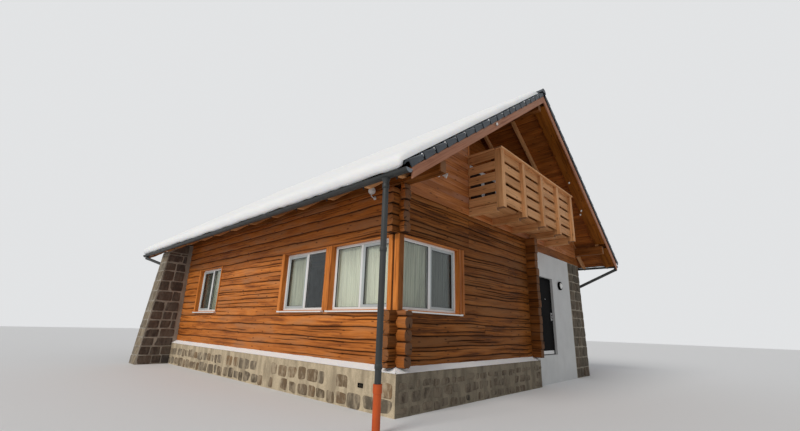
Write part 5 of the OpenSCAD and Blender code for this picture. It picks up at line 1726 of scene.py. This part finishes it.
def drainage():
    z = roof_top(EAVE_X) - 0.045
    mesh = Mesh()
    for side in (0, 1):
        x = sided(EAVE_X - GUTTER_R, side)
        lip = sided(EAVE_X - 2 * GUTTER_R + 0.002, side)
        tube(mesh, [(lip, ROOF_Y0 + 0.001, z), (lip, ROOF_Y1 - 0.001, z)], 0.008, 10)
        for y in RAFTER_YS:
            strap(mesh, x, z, GUTTER_R + 0.001, 1.045, y, 0.028, 0.0008)
        for y in (ROOF_Y0, ROOF_Y1):
            rim = [(p, y - 0.004, q) for p, q in half_ring(x, z, GUTTER_R * 1.05, 14)]
            prism(mesh, rim, (0, 0.008, 0), BACK, 0.002, 0.5, 1)
        for y in SLEEVE_YS:
            strap(mesh, x, z, GUTTER_R + 0.0005, 1.02, y, 0.10, 0.0005)
    low, high = house_box("downpipe")
    x, y = (low.x + high.x) / 2, (low.y + high.y) / 2
    for at, r in ((1.640, 50.5), (0.066, 50.5), (2.60, 52)):
        turned(mesh, (x, y, at), UP, mm(45.5, -4, r, 0, r + 2, 6, r + 2, 54, r, 60, 45.5, 64), 28)
    turned(mesh, (x, y, z - GUTTER_R - 0.075), UP, mm(46, 0, 50, 4, 50, 35, 66, 85), 28)
    mesh.build("gutter_fittings", "gutter_grey gutter_cap_grey", "gutter_metal")
    mesh = Mesh()
    turned(mesh, (x, y, GROUND_Z), UP,
           mm(53.5, 0, 53.5, 470, 60, 476, 61.5, 500, 61.5, 545, 60, 555, 60, 586), 32)
    mesh.build("drain_socket", "drain_orange", "drain_plastic")
    finish_nodes("gutter_grey", "gutter_left gutter_right downpipe rear_downpipe right_downpipe")
    finish_nodes("drain_orange", "downpipe_foot")


def fittings():
    low, high = house_box("porch_lamp")
    centre = ((low.x + high.x) / 2, 0.0, (low.z + high.z) / 2)
    mesh = Mesh()
    turned(mesh, centre, OUT, mm(112, 0, 122, 6, 124, 45, 116, 60, 94, 64, 90, 50), 40)
    rim = mm(88, 48, 84, 66)
    crown = [(0.066, -low.y - 0.006), (0.040, -low.y), (0.0, 0.001 - low.y)]
    turned(mesh, centre, OUT, rim + crown, 40, 1)
    mesh.build("ring_lamp", "door_anthracite lamp_opal", "gutter_metal", "porch_lamp")
    mesh = Mesh()
    # Round white fitting under the left eave, on a short arm from the wall
    at = Vector(EAVE_LIGHT_AT)
    facing = (-0.55, -0.70, -0.42)
    turned(mesh, at, facing, mm(0, -45, 30, -40, 55, -20, 68, 0, 70, 16, 64, 24, 54, 22), 28)
    turned(mesh, at, facing, mm(54, 20, 40, 30, 20, 36, 0, 38), 28, 2)
    tube(mesh, [at + Vector((0, 0, -0.02)), (-0.10, 0.656, 2.95), (-0.055, 0.656, 2.93),
                (-0.001, 0.656, 2.93)], 0.011, 10)
    turned(mesh, (0.0, 0.656, 2.93), (-1, 0, 0), mm(34, 0, 36, 4, 36, 14, 28, 18), 20)
    # Twin floodlight on the gable boards
    at = Vector(FLOODLIGHT_AT)
    turned(mesh, at, OUT, mm(50, 0, 52, 4, 52, 20, 44, 26))
    for side in (-1, 1):
        root = at + Vector((side * 0.02, -0.02, 0))
        knee = at + Vector((side * 0.045, -0.05, 0.01))
        head = at + Vector((side * 0.095, -0.10, -0.005))
        tube(mesh, [root, knee, head], 0.011, 10)
        aim = (side * 0.55, -0.75, -0.35)
        turned(mesh, head, aim, mm(0, -55, 26, -50, 34, -30, 50, 30, 57, 45, 57, 52, 50, 52, 46, 46))
        turned(mesh, head, aim, mm(46, 45, 30, 49, 0, 50), slot=2)
    mesh.build("eave_fittings", "fitting_white gasket_black lamp_opal", "")
    mesh = Mesh()
    # Porcelain insulators: one on the left bargeboard, the others under the right verge
    body = mm(10, 4, 24, 10, 26, 22, 16, 30, 22, 40, 20, 54, 8, 62, 0, 63)
    x, y, z = INSULATOR_X, ROOF_Y0 - 0.026, roof_top(INSULATOR_X) - 0.095
    tube(mesh, [(x, ROOF_Y0 + 0.001, z), (x, y, z), (x, y, z + 0.02)], 0.006, 8, 1)
    turned(mesh, (x, y, z), UP, body, 18)
    down = Vector((-RISE, 0, -RUN))
    for x, y in HUNG_INSULATORS:
        foot = Vector((x, y, rafter_under(x) - VERGE_BOARD_T / RUN))
        tube(mesh, [foot - down * 0.002, foot + down * 0.030], 0.006, 8, 1)
        turned(mesh, foot + down * 0.012, down, body, 18)
    mesh.build("insulators", "fitting_white steel_brushed", "")
    mesh = Mesh()
    # Vent in the left plinth

    def round_vent(s, d, z):
        return on_plinth_left(VENT_Y + s, d, VENT_Z + z)

    mitred(mesh, round_vent, (-0.058, -0.033, 0.058, 0.033),
           mm(0, 10, 0, -16, 4, -20, 10, -20, 12, -16, 12, 10))
    for z in (-0.020, -0.005, 0.010):
        beam(mesh, (-0.047, -0.014, z), (0.047, -0.004, z + 0.008), 0, 0.002, place=round_vent)
    mesh.build("plinth_vent", "door_anthracite", "gutter_metal")


def doors():
    low, high = house_box("door_leaf")
    mesh = Mesh()
    # Peephole, two roses of the handle and lock, and the kick plate
    turned(mesh, ((low.x + high.x) / 2, low.y, PEEPHOLE_Z), OUT,
           mm(13.5, -2, 14.5, 0, 14.5, 3, 11, 6, 6, 4, 0, 4), 20)
    for z in (HANDLE_Z, LOCK_Z):
        turned(mesh, (HANDLE_X, low.y - 0.008, z), OUT, mm(24, 0, 25, 3, 22, 8, 10, 9, 10, 13, 0, 13), 20)
    beam(mesh, (low.x + 0.06, -0.004, 0.02), (high.x - 0.06, 0.001, 0.11), 0, 0.003, place=along_x(low.y))
    mesh.build("door_furniture", "steel_brushed", "handle_steel", "", 35, "entrance_door")
    mesh = Mesh()
    x0, x1, z1 = RECESS_DOOR
    for a, b in ((x0 + 0.06, x0 + 1.0), (x0 + 1.06, x1 - 0.06)):
        # The panes are the dark sheet in slot 2, painted shade of the room behind
        beam(mesh, (a + 0.056, 0.016, RECESS_Z0 + 0.116), (b - 0.056, 0.026, z1 - 0.116), 0, 0.001, slot=2,
             place=in_recess)
        mitred(mesh, in_recess, (a, RECESS_Z0 + 0.06, b, z1 - 0.06),
               mm(0, 30, 0, 12, 4, 8, 50, 8, 60, 20, 60, 45))
    handle = [(0.955, 0.008), (0.955, -0.04), (0.84, -0.045)]
    tube(mesh, [(x0 + x, RECESS_D + d, RECESS_Z0 + 1.0) for x, d in handle], 0.009, 10, 1)
    mesh.build("balcony_door_sash", "pvc_white steel_brushed pane_before_dark_room", "white_pvc")
    finish_nodes("door_anthracite", "door_leaf door_frame")
    finish_nodes("steel_brushed", "door_handle")
    finish_nodes("pvc_white", "balcony_door")


def main():
    materials()
    stage_and_light()
    camera()
    logs()
    roof_timber()
    gables()
    balcony()
    windows()
    masonry()
    tiles()
    snow()
    drainage()
    fittings()
    doors()


main()
